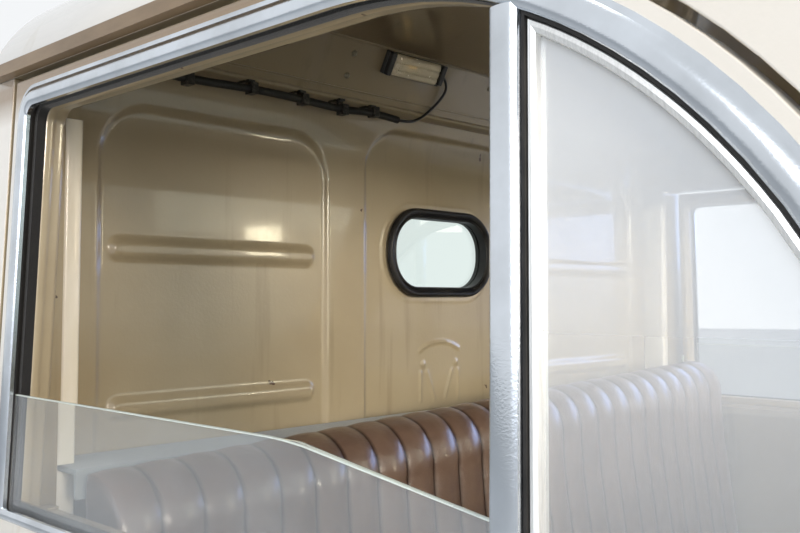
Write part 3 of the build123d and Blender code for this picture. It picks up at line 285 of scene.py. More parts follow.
# Faces turned out of the cab: a paler copy of the cream, as painted sunlight
outside = blended(tree, meets(tree, 0.35, 0.7, patches.outputs["Fac"]), "#E9E3D8", "#E2DACB")
outside = blended(tree, meets(tree, 0.62, 0.9, streaks.outputs["Fac"]), outside, "#CDBFA4")
# Brown band under the side gutters, outside: painted shade
gutter_painted_shade = add_node(
    tree, "ShaderNodeMath", links={0: meets(tree, 1.112, 1.140, height.outputs["Z"]), 1: meets(tree, 1.150, 1.166, height.outputs["Z"])},
    operation="SUBTRACT",
)
beside = add_node(tree, "ShaderNodeMath", links={0: height.outputs["Y"]}, operation="ABSOLUTE")
gutter_painted_shade = add_node(
    tree, "ShaderNodeMath", operation="MULTIPLY",
    links={0: gutter_painted_shade.outputs[0], 1: meets(tree, 0.668, 0.684, beside.outputs[0])},
)
outside = blended(tree, gutter_painted_shade.outputs[0], outside, "#8E775A")
# Outward faces take the painted-sunlight copy, inward faces the painted-shade copy
colour = blended(tree, meets(tree, 0.0, 0.01, outwards.outputs["Value"]), inside, outside)
colour = blended(tree, meets(tree, 0.75, 0.76, chips.outputs["Fac"]), colour, "#4A3322")
tree.links.new(colour, shader.inputs["Base Color"])
peel = add_node(tree, "ShaderNodeTexNoise", {"Scale": 260.0, "Detail": 2.0}, {"Vector": place})
sheet = add_node(tree, "ShaderNodeTexNoise", {"Scale": 7.0, "Detail": 1.0}, {"Vector": place})
wavy = bumped(tree, shader, sheet.outputs["Fac"], 0.004, 0.5)
bumped(tree, shader, peel.outputs["Fac"], 0.0004, 0.35, before=wavy)


def dress(names, finish, edge=0.0):
    """Gives CAD nodes a finish, with their sharp edges rounded by a radius in metres."""
    for name in names:
        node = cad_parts[name]
        node.data.materials.clear()
        node.data.materials.append(finish)
        if edge:
            weld = node.modifiers.new("weld", "WELD")
            weld.merge_threshold = 0.00002
            bevel = node.modifiers.new("edges", "BEVEL")
            bevel.width = edge
            bevel.segments = 2
            bevel.limit_method = "ANGLE"
            bevel.angle_limit = math.radians(40)
            bevel.harden_normals = True
            bevel.use_clamp_overlap = True


dress(
    ("floor_pan", "firewall", "cowl_panel", "cowl_sides", "windscreen_frame", "roof_panel", "door_pillars",
     "rear_header_rail"),
    cream_enamel, 0.0015,
)
dress(("instrument_panel",), cream_enamel)

# Gutter enamel: the same paint in a mottled brown, which is painted shade under the roof's edge
gutter_shade_enamel, tree, shader = finish_of("gutter_shade_enamel", Roughness=0.45, Coat_Weight=0.3)
film = add_node(tree, "ShaderNodeTexNoise", {"Scale": 12.0, "Detail": 5.0}, {"Vector": place_in(tree, (1, 1, 4))})
tree.links.new(
    blended(tree, meets(tree, 0.3, 0.7, film.outputs["Fac"]), "#8E775A", "#6F5B42"), shader.inputs["Base Color"]
)
bumped(tree, shader, film.outputs["Fac"], 0.0006)
dress(("drip_gutters",), gutter_shade_enamel)

# Fibre mat: grey-green, matt, laid on the ledge behind the seat
fibre_mat, tree, shader = finish_of("fibre_mat", Roughness=0.75, Sheen_Weight=0.25)
fluff = add_node(tree, "ShaderNodeTexNoise", {"Scale": 700.0, "Detail": 3.0}, {"Vector": place_in(tree)})
tree.links.new(
    blended(tree, meets(tree, 0.35, 0.7, fluff.outputs["Fac"]), "#969A96", "#7C817E"), shader.inputs["Base Color"]
)
bumped(tree, shader, fluff.outputs["Fac"], 0.0006)
dress(("parcel_ledge",), fibre_mat, 0.0015)
dress(
    ("hinge_pillar_leaves", "hinge_leaves_left", "hinge_leaves_right"), cream_enamel
)


# Rear bulkhead: one wide pressing behind the seat. Its side and centre panels are sunk by
# soft steps that follow the curve under the roof, with ribs in the side panels and an arch,
# two dimples and two legs under the oval window.
def new_piece(name, points, faces, finish, slot, body="root", crisp=35):
    """Mesh piece with its faces turned outwards, smooth but for edges sharper than an angle."""
    data = bpy.data.meshes.new(name)
    data.from_pydata([tuple(point) for point in points], [], faces)
    shaped = bmesh.new()
    shaped.from_mesh(data)
    bmesh.ops.remove_doubles(shaped, verts=shaped.verts, dist=0.00001)
    bmesh.ops.recalc_face_normals(shaped, faces=shaped.faces)
    shaped.to_mesh(data)
    shaped.free()
    data.shade_smooth()
    data.set_sharp_from_angle(angle=math.radians(crisp))
    data.materials.append(finish)
    piece = bpy.data.objects.new(name, data)
    scene.collection.objects.link(piece)
    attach(piece, body)
    return piece


def rounded_box(y, z, middle, half, radius):
    """Distance in metres outside a rounded rectangle, given in the bulkhead's plane."""
    away_y = np.abs(y - middle[0]) - half[0] + radius
    away_z = np.abs(z - middle[1]) - half[1] + radius
    outside = np.hypot(np.maximum(away_y, 0), np.maximum(away_z, 0))
    return outside + np.minimum(np.maximum(away_y, away_z), 0) - radius


def stepped(distance, soft):
    """Share from 0 outside to 1 inside, over a soft step of a width in metres."""
    share = np.clip(0.5 - distance / soft, 0, 1)
    return 0.6 * share + 0.4 * share * share * (3 - 2 * share)


def segment(y, z, start, end):
    """Distance in metres from a straight line between two points."""
    run = np.subtract(end, start)
    along = np.clip(((y - start[0]) * run[0] + (z - start[1]) * run[1]) / run.dot(run), 0, 1)
    return np.hypot(y - start[0] - along * run[0], z - start[1] - along * run[1])


bulkhead_half = 0.625
bulkhead_z = (0.070, 0.760, 1.135, 1.205)
window_z = 1.011
panel_floor = 0.758
window_half = (0.1135, 0.0605)
window_corner = 0.0565
columns = np.linspace(-bulkhead_half, bulkhead_half, 460)
rows = np.concatenate([
    np.linspace(bulkhead_z[0], bulkhead_z[1], 8)[:-1],
    np.linspace(bulkhead_z[1], bulkhead_z[2], 140)[:-1],
    np.linspace(bulkhead_z[2], bulkhead_z[3], 27),
])
y, z = np.meshgrid(columns, rows)
soft_step = 0.0075
corner = 0.060
side_panels = np.minimum.reduce([
    rounded_box(y, z, (side * 0.407, 0.869), (0.168, 0.292), corner) for side in (-1, 1)
])
centre_panel = rounded_box(y, z, (0, 0.881), (0.164, 0.305), corner)
floor_line = panel_floor - z
pressed = stepped(np.maximum(np.minimum(side_panels, centre_panel), floor_line), soft_step)
ribs = np.minimum.reduce([
    rounded_box(y, z, (side * 0.410, rib_z), (0.149, 0.010), 0.0098)
    for side in (-1, 1) for rib_z in (0.998, 0.817)
])
arch = np.abs(np.hypot(y, z - 0.778) - 0.096) - 0.002
arch = np.maximum(arch, np.abs(y) - 0.047)
legs = np.minimum.reduce([
    segment(y, z, (side * start, 0.829), (side * end, 0.786)) - 0.0018
    for side in (-1, 1) for start, end in ((0.044, 0.044), (0.028, 0.012))
])
dimples = np.hypot(np.abs(y) - 0.038, z - 0.841) - 0.004
ring = np.abs(rounded_box(y, z, (0, window_z), (0.1265, 0.0735), 0.0690)) - 0.0012
depth = 0.0060 * pressed
depth -= 0.0055 * stepped(ribs, 0.009)
depth -= 0.0024 * stepped(np.minimum(arch, legs), 0.004)
depth -= 0.0022 * stepped(dimples, 0.005)
depth -= 0.0012 * stepped(ring, 0.003)

inner_face, inner_bend, inner_radius = -0.681, -0.5215, 0.1595
outer_face, outer_bend, outer_radius = -0.705, -0.5381, 0.1669
above = np.maximum(z - bulkhead_z[2], 0)
level = np.sqrt(inner_radius**2 - above**2)
x = np.where(above > 0, inner_bend - level, inner_face) - depth * level / inner_radius
z_pressed = z + depth * above / inner_radius

# Window hole: cells inside it go, and the points round it move onto its edge
hole = rounded_box(y, z, (0, window_z), window_half, window_corner)
step = 0.0005
slope_y = (rounded_box(y + step, z, (0, window_z), window_half, window_corner) - hole) / step
slope_z = (rounded_box(y, z + step, (0, window_z), window_half, window_corner) - hole) / step
near_edge = (hole < 0) & (hole > -0.0027)
y_edge = np.where(near_edge, y - hole * slope_y, y)
z_edge = np.where(near_edge, z_pressed - hole * slope_z, z_pressed)
gone = hole <= -0.0027
points = np.stack([x, y_edge, z_edge], axis=-1).reshape(-1, 3)
width = len(columns)
faces = []
for row in range(len(rows) - 1):
    for column in range(width - 1):
        if not gone[row:row + 2, column:column + 2].any():
            low = row * width + column
            faces.append((low, low + 1, low + width + 1, low + width))


def back_of(point):
    """The bulkhead's outer skin behind a point of its inner face."""
    rise = max(point.z - bulkhead_z[2], 0)
    skin = outer_bend - math.sqrt(outer_radius**2 - rise**2) if rise else outer_face
    return Vector((skin, point.y, point.z))


shaped = bmesh.new()
verts = [shaped.verts.new(point) for point in points]
for face in faces:
    shaped.faces.new([verts[index] for index in face])
bmesh.ops.delete(shaped, geom=[vert for vert in shaped.verts if not vert.link_faces], context="VERTS")
rim = [edge for edge in shaped.edges if edge.is_boundary]
twins = {}
for edge in rim:
    for vert in edge.verts:
        if vert not in twins:
            twins[vert] = shaped.verts.new(back_of(vert.co))
for edge in rim:
    first, second = edge.verts
    shaped.faces.new((first, second, twins[second], twins[first]))
back = list(twins.values())
right = sorted((vert for vert in back if vert.co.y < -bulkhead_half + 0.0001), key=lambda vert: vert.co.z)
left = sorted((vert for vert in back if vert.co.y > bulkhead_half - 0.0001), key=lambda vert: vert.co.z)
bend = next(index for index, vert in enumerate(right) if vert.co.z > bulkhead_z[2] - 0.0001)
for index in range(bend, len(right) - 2):
    shaped.faces.new((right[index], left[index], left[index + 1], right[index + 1]))
top = sorted((vert for vert in back if vert.co.z > bulkhead_z[3] - 0.001), key=lambda vert: vert.co.y)
shaped.faces.new([right[-2], left[-2], *reversed(top)])
low_back = {vert for vert in back if vert.co.z < bulkhead_z[2] + 0.0001}
flat = [edge for edge in shaped.edges if low_back.issuperset(edge.verts)]
bmesh.ops.triangle_fill(shaped, use_beauty=True, use_dissolve=False, edges=flat)
bmesh.ops.recalc_face_normals(shaped, faces=shaped.faces)
bulkhead = new_piece("pressed_bulkhead", [], [], cream_enamel, "body_paint")
shaped.to_mesh(bulkhead.data)
shaped.free()
bulkhead.data.shade_smooth()
bulkhead.data.set_sharp_from_angle(angle=math.radians(50))
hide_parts("rear_bulkhead")


# Rear window: flat safety glass in a black rubber moulding that grips the bulkhead and the
# glass, with a bead inside and a lip outside.
def loop_swept(route, profile):
    """Rings of points round a closed route in a plane: each profile point lies outwards and up."""
    rings = []
    for index, here in enumerate(route):
        normals = []
        for start, end in ((route[index - 1], here), (here, route[(index + 1) % len(route)])):
            run = Vector((end[0] - start[0], end[1] - start[1])).normalized()
            normals.append(Vector((-run.y, run.x)))
        mitre = (normals[0] + normals[1]).normalized()
        reach = 1 / mitre.dot(normals[0])
        rings.append([(here[0] + mitre.x * reach * out, here[1] + mitre.y * reach * out, rise)
                      for out, rise in profile])
    return rings


def skinned(rings, closed):
    """Faces between rings of points, with flat ends where the row of rings is open."""
    count = len(rings[0])
    faces = []
    for ring in range(len(rings) if closed else len(rings) - 1):
        after = (ring + 1) % len(rings)
        for place in range(count):
            beside = (place + 1) % count
            faces.append((ring * count + place, ring * count + beside,
                          after * count + beside, after * count + place))
    if not closed:
        faces.append(tuple(range(count)))
        faces.append(tuple((len(rings) - 1) * count + place for place in reversed(range(count))))
    return faces


def oval(half_width, half_height, radius, steps):
    """Clockwise rounded outline, so that its left side is its outside."""
    route = []
    for turn, side_y, side_z in ((90, 1, 1), (0, 1, -1), (-90, -1, -1), (-180, -1, 1)):
        for step in range(steps + 1):
            angle = math.radians(turn - 90 * step / steps)
            route.append((side_y * (half_width - radius) + radius * math.cos(angle),
                          side_z * (half_height - radius) + radius * math.sin(angle)))
    return route


# Extruded rubber: dense and black, weathered to a soft grey bloom, shiny only where wiped
moulded_rubber, tree, shader = finish_of("extruded_rubber", Roughness=0.45, Specular_IOR_Level=0.4)
bloom = add_node(tree, "ShaderNodeTexNoise", {"Scale": 45.0, "Detail": 4.0}, {"Vector": place_in(tree)})
grain = add_node(tree, "ShaderNodeTexNoise", {"Scale": 900.0}, {"Vector": place_in(tree)})
tree.links.new(
    blended(tree, meets(tree, 0.4, 0.75, bloom.outputs["Fac"]), "#161514", "#2E2C29"),
    shader.inputs["Base Color"],
)
tree.links.new(meets(tree, -0.4, 1.6, bloom.outputs["Fac"]), shader.inputs["Roughness"])
bumped(tree, shader, grain.outputs["Fac"], 0.0001)

seal_line = oval(0.112, 0.059, 0.055, 14)
seal_profile = [(out / 1000, rise / 1000) for out, rise in (
    (-7.0, 7.4), (-6.6, 10.2), (-4.6, 11.0), (-3.2, 9.6), (-2.2, 8.9), (-1.0, 10.4), (1.2, 13.0),
    (4.0, 13.6), (6.6, 12.4), (8.0, 9.6), (8.2, 6.3), (1.4, 6.3), (1.4, -11.6), (8.0, -11.6), (8.0, -14.4),
    (5.6, -17.0), (-3.2, -17.0), (-6.6, -14.6), (-7.0, -7.8), (-2.6, -7.8), (-2.6, -3.2), (-7.0, -3.2),
)]
rings = [[(-0.688 + rise, y, window_z + z) for y, z, rise in ring] for ring in loop_swept(seal_line, seal_profile)]
seal = new_piece(
    "rear_window_moulding", [point for ring in rings for point in ring], skinned(rings, True),
    moulded_rubber, "black_rubber", crisp=50,
)
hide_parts("rear_window_seal")

# Toughened glass: clear, with the faint green of soda-lime glass and a little dust on it
window_glass, tree, shader = finish_of(
    "soda_lime_glass", Base_Color=srgb("#EDF8F2"), IOR=1.5, Transmission_Weight=1.0, Roughness=0.0
)
dust = add_node(tree, "ShaderNodeTexNoise", {"Scale": 14.0, "Detail": 6.0}, {"Vector": place_in(tree)})
tree.links.new(meets(tree, 0.55, 3.2, dust.outputs["Fac"]), shader.inputs["Roughness"])
dress(("windscreen_glass", "rear_window_glass"), window_glass)
for pane in ("windscreen_glass", "rear_window_glass"):
    bpy.data.objects[pane].visible_shadow = False

# Rail under the rear of the roof: a hollow folded section spot-welded to the roof, with a
# rolled lip along its foot, a welded flange above and screws for the headlining's strip.
lip_line = [(-0.6315, side * 0.618, 1.2075) for side in (-1, 1)]


def rod(start, end, radius, sides=12):
    """Points and faces of a round bar between two places."""
    start, end = Vector(start), Vector(end)
    turn = (end - start).to_track_quat("Z", "Y")
    rings = [
        [place + turn @ Vector((radius * math.cos(2 * math.pi * side / sides),
                                radius * math.sin(2 * math.pi * side / sides), 0)) for side in range(sides)]
        for place in (start, end)
    ]
    return [point for ring in rings for point in ring], skinned(rings, False)


new_piece("rail_lip", *rod(*lip_line, 0.0034), cream_enamel, "body_paint")
rail_slope = Vector((0.466, 0, 0.885))
rail_out = Vector((0.885, 0, -0.466))


def on_rail(y, rise, proud=0.0):
    """Place on the rail's sloping face: along it, up from its foot, and out of it."""
    return Vector((-0.631, y, 1.208)) + rail_slope * rise + rail_out * proud


for name, rise, half_height in (("rail_flange", 0.078, 0.0020), ("rail_seam", 0.012, 0.0014)):
    corners = [(rise - half_height, -0.001), (rise - half_height, 0.0012), (rise - half_height * 0.6, 0.0022),
               (rise + half_height * 0.6, 0.0022), (rise + half_height, 0.0012), (rise + half_height, -0.001)]
    rings = [[on_rail(y, up, proud) for up, proud in corners] for y in (-0.617, 0.617)]
    new_piece(name, [point for ring in rings for point in ring], skinned(rings, False), cream_enamel,
              "body_paint", crisp=60)

# Zinc-plated steel: dull silver screws and clips, gone slightly yellow
zinc_plate, tree, shader = finish_of("zinc_plated_steel", Metallic=1.0, Roughness=0.38)
tarnish = add_node(tree, "ShaderNodeTexNoise", {"Scale": 160.0, "Detail": 3.0}, {"Vector": place_in(tree)})
tree.links.new(
    blended(tree, meets(tree, 0.35, 0.7, tarnish.outputs["Fac"]), "#A9A699", "#6F6754"),
    shader.inputs["Base Color"],
)


def turned(name, outline, foot, axis, finish, slot, body="root", sides=32, crisp=35):
    """Piece turned on a lathe: its outline gives radius and height from the foot along the axis."""
    turn = Vector(axis).to_track_quat("Z", "Y")
    points, faces = [], []
    for radius, height in outline:
        for side in range(sides):
            angle = 2 * math.pi * side / sides
            points.append(Vector(foot) + turn @ Vector((radius * math.cos(angle), radius * math.sin(angle), height)))
    for ring in range(len(outline) - 1):
        for side in range(sides):
            beside = (side + 1) % sides
            faces.append((ring * sides + side, ring * sides + beside,
                          (ring + 1) * sides + beside, (ring + 1) * sides + side))
    faces.append(tuple(reversed(range(sides))))
    faces.append(tuple((len(outline) - 1) * sides + side for side in range(sides)))
    return new_piece(name, points, faces, finish, slot, body, crisp)


screw_head = ((0.0, -0.001), (0.0042, -0.001), (0.0042, 0.0005), (0.0034, 0.0018), (0.0018, 0.0025), (0.0, 0.0027))
for index, (y, rise) in enumerate((
    (-0.470, 0.058), (-0.452, 0.075), (-0.345, 0.076), (-0.262, 0.060), (-0.262, 0.030), (0.020, 0.060),
    (0.240, 0.060), (0.460, 0.060),
)):
    turned(f"rail_screw_{index}", screw_head, on_rail(y, rise), rail_out, zinc_plate, "clip_steel", sides=12)

# Black japanned steel: the loom's clips, dull and nearly as dark as the tape
japanned_steel, tree, shader = finish_of("japanned_steel", Roughness=0.4)
worn = add_node(tree, "ShaderNodeTexNoise", {"Scale": 240.0, "Detail": 3.0}, {"Vector": place_in(tree)})
tree.links.new(
    blended(tree, meets(tree, 0.5, 0.8, worn.outputs["Fac"]), "#1C1A17", "#5A564C"),
    shader.inputs["Base Color"],
)
bumped(tree, shader, worn.outputs["Fac"], 0.0002, 0.5)
dress(("loom_clips",), japanned_steel, 0.0006)

# Cabin lamp: a black moulded base with end blocks, a pressed glass lens with three rows of
# flutes, and a festoon bulb glowing faintly behind it.
lamp_middle = on_rail(-0.153, 0.0607)
lamp_side = Vector((0, 1, 0))


def on_lamp(along, rise, proud):
    """Place on the lamp: along the cab's width, up the rail and out of it."""
    return lamp_middle + lamp_side * along + rail_slope * rise + rail_out * proud


# Bakelite: black, moulded, with a dull shine
bakelite, tree, shader = finish_of("bakelite", Base_Color=srgb("#12110F"), Roughness=0.32)
scuff = add_node(tree, "ShaderNodeTexNoise", {"Scale": 220.0, "Detail": 3.0}, {"Vector": place_in(tree)})
bumped(tree, shader, scuff.outputs["Fac"], 0.0002, 0.5)


def block(name, place, along, rise, proud, finish, slot, soft, body="root"):
    """Moulded block on a surface given by a place function, its edges rounded."""
    corners = [(a, r, p) for p in proud for r in rise for a in along]
    faces = [(0, 1, 3, 2), (4, 5, 7, 6), (0, 1, 5, 4), (2, 3, 7, 6), (0, 2, 6, 4), (1, 3, 7, 5)]
    piece = new_piece(name, [place(*corner) for corner in corners], faces, finish, slot, body)
    edges = piece.modifiers.new("edges", "BEVEL")
    edges.width = soft
    edges.segments = 3
    edges.harden_normals = True
    return piece


lamp_plate = block("lamp_plate", on_lamp, (-0.056, 0.056), (-0.016, 0.016), (0.0, 0.0070), bakelite,
                   "black_plastic", 0.0015)
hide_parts("cabin_lamp_base")
block("lamp_end_near", on_lamp, (-0.056, -0.0475), (-0.016, 0.016), (0.0065, 0.0160), bakelite,
      "black_plastic", 0.0020)
block("lamp_end_far", on_lamp, (0.0475, 0.056), (-0.013, 0.016), (0.0065, 0.0145), bakelite,
      "black_plastic", 0.0020)

# Pressed glass: its flutes break up whatever stands behind
pressed_glass, tree, shader = finish_of(
    "pressed_glass", Base_Color=srgb("#EDE3CC"), IOR=1.5, Transmission_Weight=0.55, Roughness=0.08
)
haze = add_node(tree, "ShaderNodeTexNoise", {"Scale": 90.0, "Detail": 3.0}, {"Vector": place_in(tree)})
tree.links.new(meets(tree, -0.2, 3.0, haze.outputs["Fac"]), shader.inputs["Roughness"])

lens_half, lens_rise = 0.0470, 0.0152
flute_pitch = 0.0038
across = np.linspace(-lens_half, lens_half, 201)
upwards = np.linspace(-lens_rise, lens_rise, 31)
rings = []
for up in upwards:
    tier = min(int((up + lens_rise) / (2 * lens_rise) * 3), 2)
    in_tier = (up + lens_rise) / (2 * lens_rise) * 3 - tier
    swell = 0.0022 * (1 - (2 * in_tier - 1) ** 4)
    edge = 0.0075 * (1 - (abs(up) / lens_rise) ** 6)
    ring = []
    for along in across:
        flute = 0.0013 * abs(math.sin(math.pi * (along + lens_half) / flute_pitch + tier * 1.3))
        fade = 1 - (abs(along) / lens_half) ** 10
        ring.append(on_lamp(along, up, 0.0075 + (edge + swell + flute) * fade))
    rings.append([on_lamp(lens_half, up, 0.0072), *reversed(ring), on_lamp(-lens_half, up, 0.0072)])
lens = new_piece(
    "fluted_lens", [point for ring in rings for point in ring], skinned(rings, False), pressed_glass,
    "lamp_lens", crisp=30,
)
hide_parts("cabin_lamp_lens")

# Bulb: a frosted glass tube glowing faintly warm
warm_glow, tree, shader = finish_of(
    "bulb_glass", Base_Color=srgb("#FFE9B8"), Roughness=0.2, Emission_Color=srgb("#FFD37A"),
    Emission_Strength=0.5,
)
frost = add_node(tree, "ShaderNodeTexNoise", {"Scale": 300.0}, {"Vector": place_in(tree)})
bumped(tree, shader, frost.outputs["Fac"], 0.0001)
new_piece("festoon_bulb", *rod(on_lamp(-0.016, 0.002, 0.0105), on_lamp(-0.004, 0.002, 0.0105), 0.0016), warm_glow,
          "lamp_lens")
# Polished aluminium: the sheet behind the bulb that throws its light out
bright_reflector, tree, shader = finish_of("polished_reflector", Metallic=1.0, Roughness=0.25)
dimpled = add_node(tree, "ShaderNodeTexNoise", {"Scale": 150.0}, {"Vector": place_in(tree)})
tree.links.new(blended(tree, dimpled.outputs["Fac"], "#F3EFE4", "#D8D2C2"), shader.inputs["Base Color"])
bumped(tree, shader, dimpled.outputs["Fac"], 0.0004)
block("lamp_reflector", on_lamp, (-0.045, 0.045), (-0.013, 0.013), (0.0071, 0.0076), bright_reflector,
      "lamp_lens", 0.0001)


# Doors: steel shells whose window frames carry a bright pressed surround outside, a black
# felt-lined run for the glass, and a folded painted frame inside. Every strip follows the
# same opening, drawn on the door's leaning side.
side_y, side_z = 0.712, 0.736
lean = math.atan2(0.020, 0.424)
opening_rear, opening_bend, opening_front = -0.603, -0.170, 0.285
opening_top = (1.127 - side_z) / math.cos(lean)
opening_middle = (0.121, (0.980 - side_z) / math.cos(lean))
bow_run = opening_middle[0] - opening_bend
bow_drop = opening_top - opening_middle[1]
bow_radius = (bow_run**2 + bow_drop**2) / (2 * bow_drop)


def on_side(x, up, out, side):
    """Place on a door: forward, up its leaning side from the belt line, and out of it."""
    y = -side_y + up * math.sin(lean) - out * math.cos(lean)
    return (x, y if side == "right" else -y, side_z + up * math.cos(lean) + out * math.sin(lean))


def bow(x):
    """Height of the opening's top edge over a place along the door."""
    if x <= opening_bend:
        return opening_top
    return opening_top - bow_radius + math.sqrt(bow_radius**2 - (x - opening_bend) ** 2)


def bow_line(start, end, steps):
    """Points along the opening's top edge."""
    return [(start + (end - start) * step / steps, bow(start + (end - start) * step / steps))
            for step in range(steps + 1)]


corner_round = 0.012
opening_line = [(opening_rear, 0.0)] + [
    (opening_rear + corner_round * (1 - math.cos(math.radians(15 * step))),
     opening_top - corner_round * (1 - math.sin(math.radians(15 * step)))) for step in range(7)
] + bow_line(opening_bend, opening_middle[0], 18) + [(opening_front, 0.0)]


def strip(name, route, profile, finish, slot, side, closed=False, crisp=35):
    """Strip along a route on a door; each profile point lies outwards of it and out of the door."""
    rings = []
    count = len(route)
    for index, here in enumerate(route):
        normals = []
        for first, last in ((index - 1, index), (index, index + 1)):
            if closed or (first >= 0 and last < count):
                start, end = route[first], route[last % count]
                run = Vector((end[0] - start[0], end[1] - start[1])).normalized()
                normals.append(Vector((-run.y, run.x)))
        mitre = sum(normals, Vector((0, 0))).normalized()
        if len(normals) == 1 and abs(normals[0].x) > 0.3:
            mitre = Vector((math.copysign(1, normals[0].x), 0))
        reach = 1 / mitre.dot(normals[0])
        rings.append([on_side(here[0] + mitre.x * reach * across, here[1] + mitre.y * reach * across, out, side)
                      for across, out in profile])
    points = [point for ring in rings for point in ring]
    return new_piece(name, points, skinned(rings, closed), finish, slot, f"door_{side}", crisp)


def millimetres(*pairs):
    """Profile in metres from pairs in millimetres."""
    return [(across / 1000, out / 1000) for across, out in pairs]


# Chromium plate on brass: a bright cool mirror with faint pits and hazy polishing marks
chromium_plate, tree, shader = finish_of("chromium_plate", Metallic=1.0)
pits = add_node(tree, "ShaderNodeTexNoise", {"Scale": 700.0, "Detail": 2.0}, {"Vector": place_in(tree)})
haze = add_node(tree, "ShaderNodeTexNoise", {"Scale": 18.0, "Detail": 5.0}, {"Vector": place_in(tree)})
tree.links.new(
    blended(tree, meets(tree, 0.35, 0.75, haze.outputs["Fac"]), "#DDE3EA", "#C2C7CC"),
    shader.inputs["Base Color"],
)
tree.links.new(meets(tree, -0.15, 3.4, haze.outputs["Fac"]), shader.inputs["Roughness"])
bumped(tree, shader, pits.outputs["Fac"], 0.00006)

# Anodised aluminium: satin, almost white, with fine lines drawn along it
anodised_aluminium, tree, shader = finish_of("anodised_aluminium", Metallic=0.75, Roughness=0.34)
drawn = add_node(
    tree, "ShaderNodeTexNoise", {"Scale": 1.0, "Detail": 3.0}, {"Vector": place_in(tree, (900, 900, 12))}
)
tree.links.new(
    blended(tree, meets(tree, 0.3, 0.7, drawn.outputs["Fac"]), "#F1F1EE", "#DEDEDB"),
    shader.inputs["Base Color"],
)
bumped(tree, shader, drawn.outputs["Fac"], 0.00008)

# Felt: short black fibres, matt, with pale dust caught in them
pile_felt, tree, shader = finish_of("pile_felt", Roughness=0.95, Sheen_Weight=0.3)
fibres = add_node(tree, "ShaderNodeTexNoise", {"Scale": 1500.0, "Detail": 2.0}, {"Vector": place_in(tree)})
tree.links.new(
    blended(tree, meets(tree, 0.45, 0.8, fibres.outputs["Fac"]), "#0E0D0C", "#2B2824"),
    shader.inputs["Base Color"],
)
bumped(tree, shader, fibres.outputs["Fac"], 0.0004)

surround_profile = millimetres(
    (-0.4, -3.0), (-0.4, 0.6), (0.8, 2.0), (2.8, 3.2), (6.0, 4.0), (9.0, 4.0), (12.0, 3.2), (14.6, 1.8),
    (16.0, 0.6), (19.6, 0.3), (19.6, -0.4), (12.0, -0.6),
)
run_profile = millimetres(
    (0.4, -2.8), (7.9, -0.4), (7.9, -19.8), (0.6, -19.8), (0.2, -18.6), (0.4, -10.6), (5.4, -10.4),
    (5.4, -5.6), (0.4, -5.4),
)
frame_profile = millimetres(
    (0.8, -19.9), (13.0, -19.9), (13.0, -41.0), (6.0, -42.0), (3.4, -40.6), (2.4, -37.0), (2.6, -31.0),
    (1.2, -28.4), (0.2, -26.0), (0.2, -21.4),
)
sill_profile = millimetres(
    (0.0, 0.0), (0.0, 2.4), (1.6, 4.4), (4.4, 5.4), (7.6, 4.8), (9.6, 2.8), (10.0, 0.0),
)
inner_sill_profile = millimetres(
    (0.0, -17.0), (0.0, -23.0), (3.0, -25.4), (8.0, -26.0), (12.6, -24.4), (14.4, -20.6), (14.4, -17.0),
)

# Division bar and quarter light: a plated bar that guides the door glass, and a satin frame
# that holds the fixed glass in black rubber.
bar_foot, bar_head, bar_half = -0.015, -0.027, 0.0098
bar_line = [(bar_foot, 0.0), (bar_head, bow(bar_head) - 0.001)]
bar_profile = millimetres(
    (-9.8, -15.8), (-9.8, -1.0), (-9.0, 1.0), (-6.6, 2.4), (-3.0, 3.2), (0.0, 3.4), (3.0, 3.2), (6.6, 2.4),
    (9.0, 1.0), (9.8, -1.0), (9.8, -15.8),
)
light_line = [(bar_foot + bar_half, 0.0105), (bar_head + bar_half, bow(bar_head + bar_half))] + bow_line(
    0.0, opening_middle[0], 14
) + [(opening_front - 0.0070, 0.0105)]
rubber_profile = millimetres(
    (0.0, -13.8), (-2.8, -13.8), (-3.4, -11.0), (-3.4, -4.2), (-2.4, -1.6), (-0.8, -1.2), (0.0, -2.0),
)
light_profile = millimetres(
    (-3.0, -12.6), (-9.2, -12.6), (-9.4, -5.0), (-8.6, -2.8), (-6.2, -1.8), (-3.8, -2.6), (-3.0, -4.4),
)

# Half-open door glass: the same clear glass under a thin pale film, which pales what stands
# behind it; the film is partly haze and partly painted reflection of the bright sky
haze_and_reflection_glass, tree, shader = finish_of(
    "door_glass_haze_and_reflection", Base_Color=srgb("#EDF1F2"), IOR=1.5, Roughness=0.0
)
film = add_node(tree, "ShaderNodeTexNoise", {"Scale": 5.0, "Detail": 3.0}, {"Vector": place_in(tree, (1, 1, 2))})
# Pale film over the glass: partly haze, partly painted reflection
wiped = add_node(
    tree, "ShaderNodeMapRange", {"From Min": 0.3, "From Max": 0.75, "To Min": 0.94, "To Max": 0.86},
    {"Value": film.outputs["Fac"]},
)
tree.links.new(wiped.outputs[0], shader.inputs["Transmission Weight"])

# Quarter-light glass: a pale film, hazier towards its top, partly haze and partly painted glare
haze_and_glare_glass, tree, shader = finish_of(
    "quarter_glass_haze_and_glare", Base_Color=srgb("#F6F8F8"), IOR=1.5, Roughness=0.0
)
height = add_node(tree, "ShaderNodeSeparateXYZ", links={"Vector": place_in(tree)})
# Paler film towards the top: partly haze, partly painted glare
film = add_node(
    tree, "ShaderNodeMapRange", {"From Min": 0.78, "From Max": 1.02, "To Min": 0.90, "To Max": 0.62},
    {"Value": height.outputs["Z"]},
)
tree.links.new(film.outputs[0], shader.inputs["Transmission Weight"])

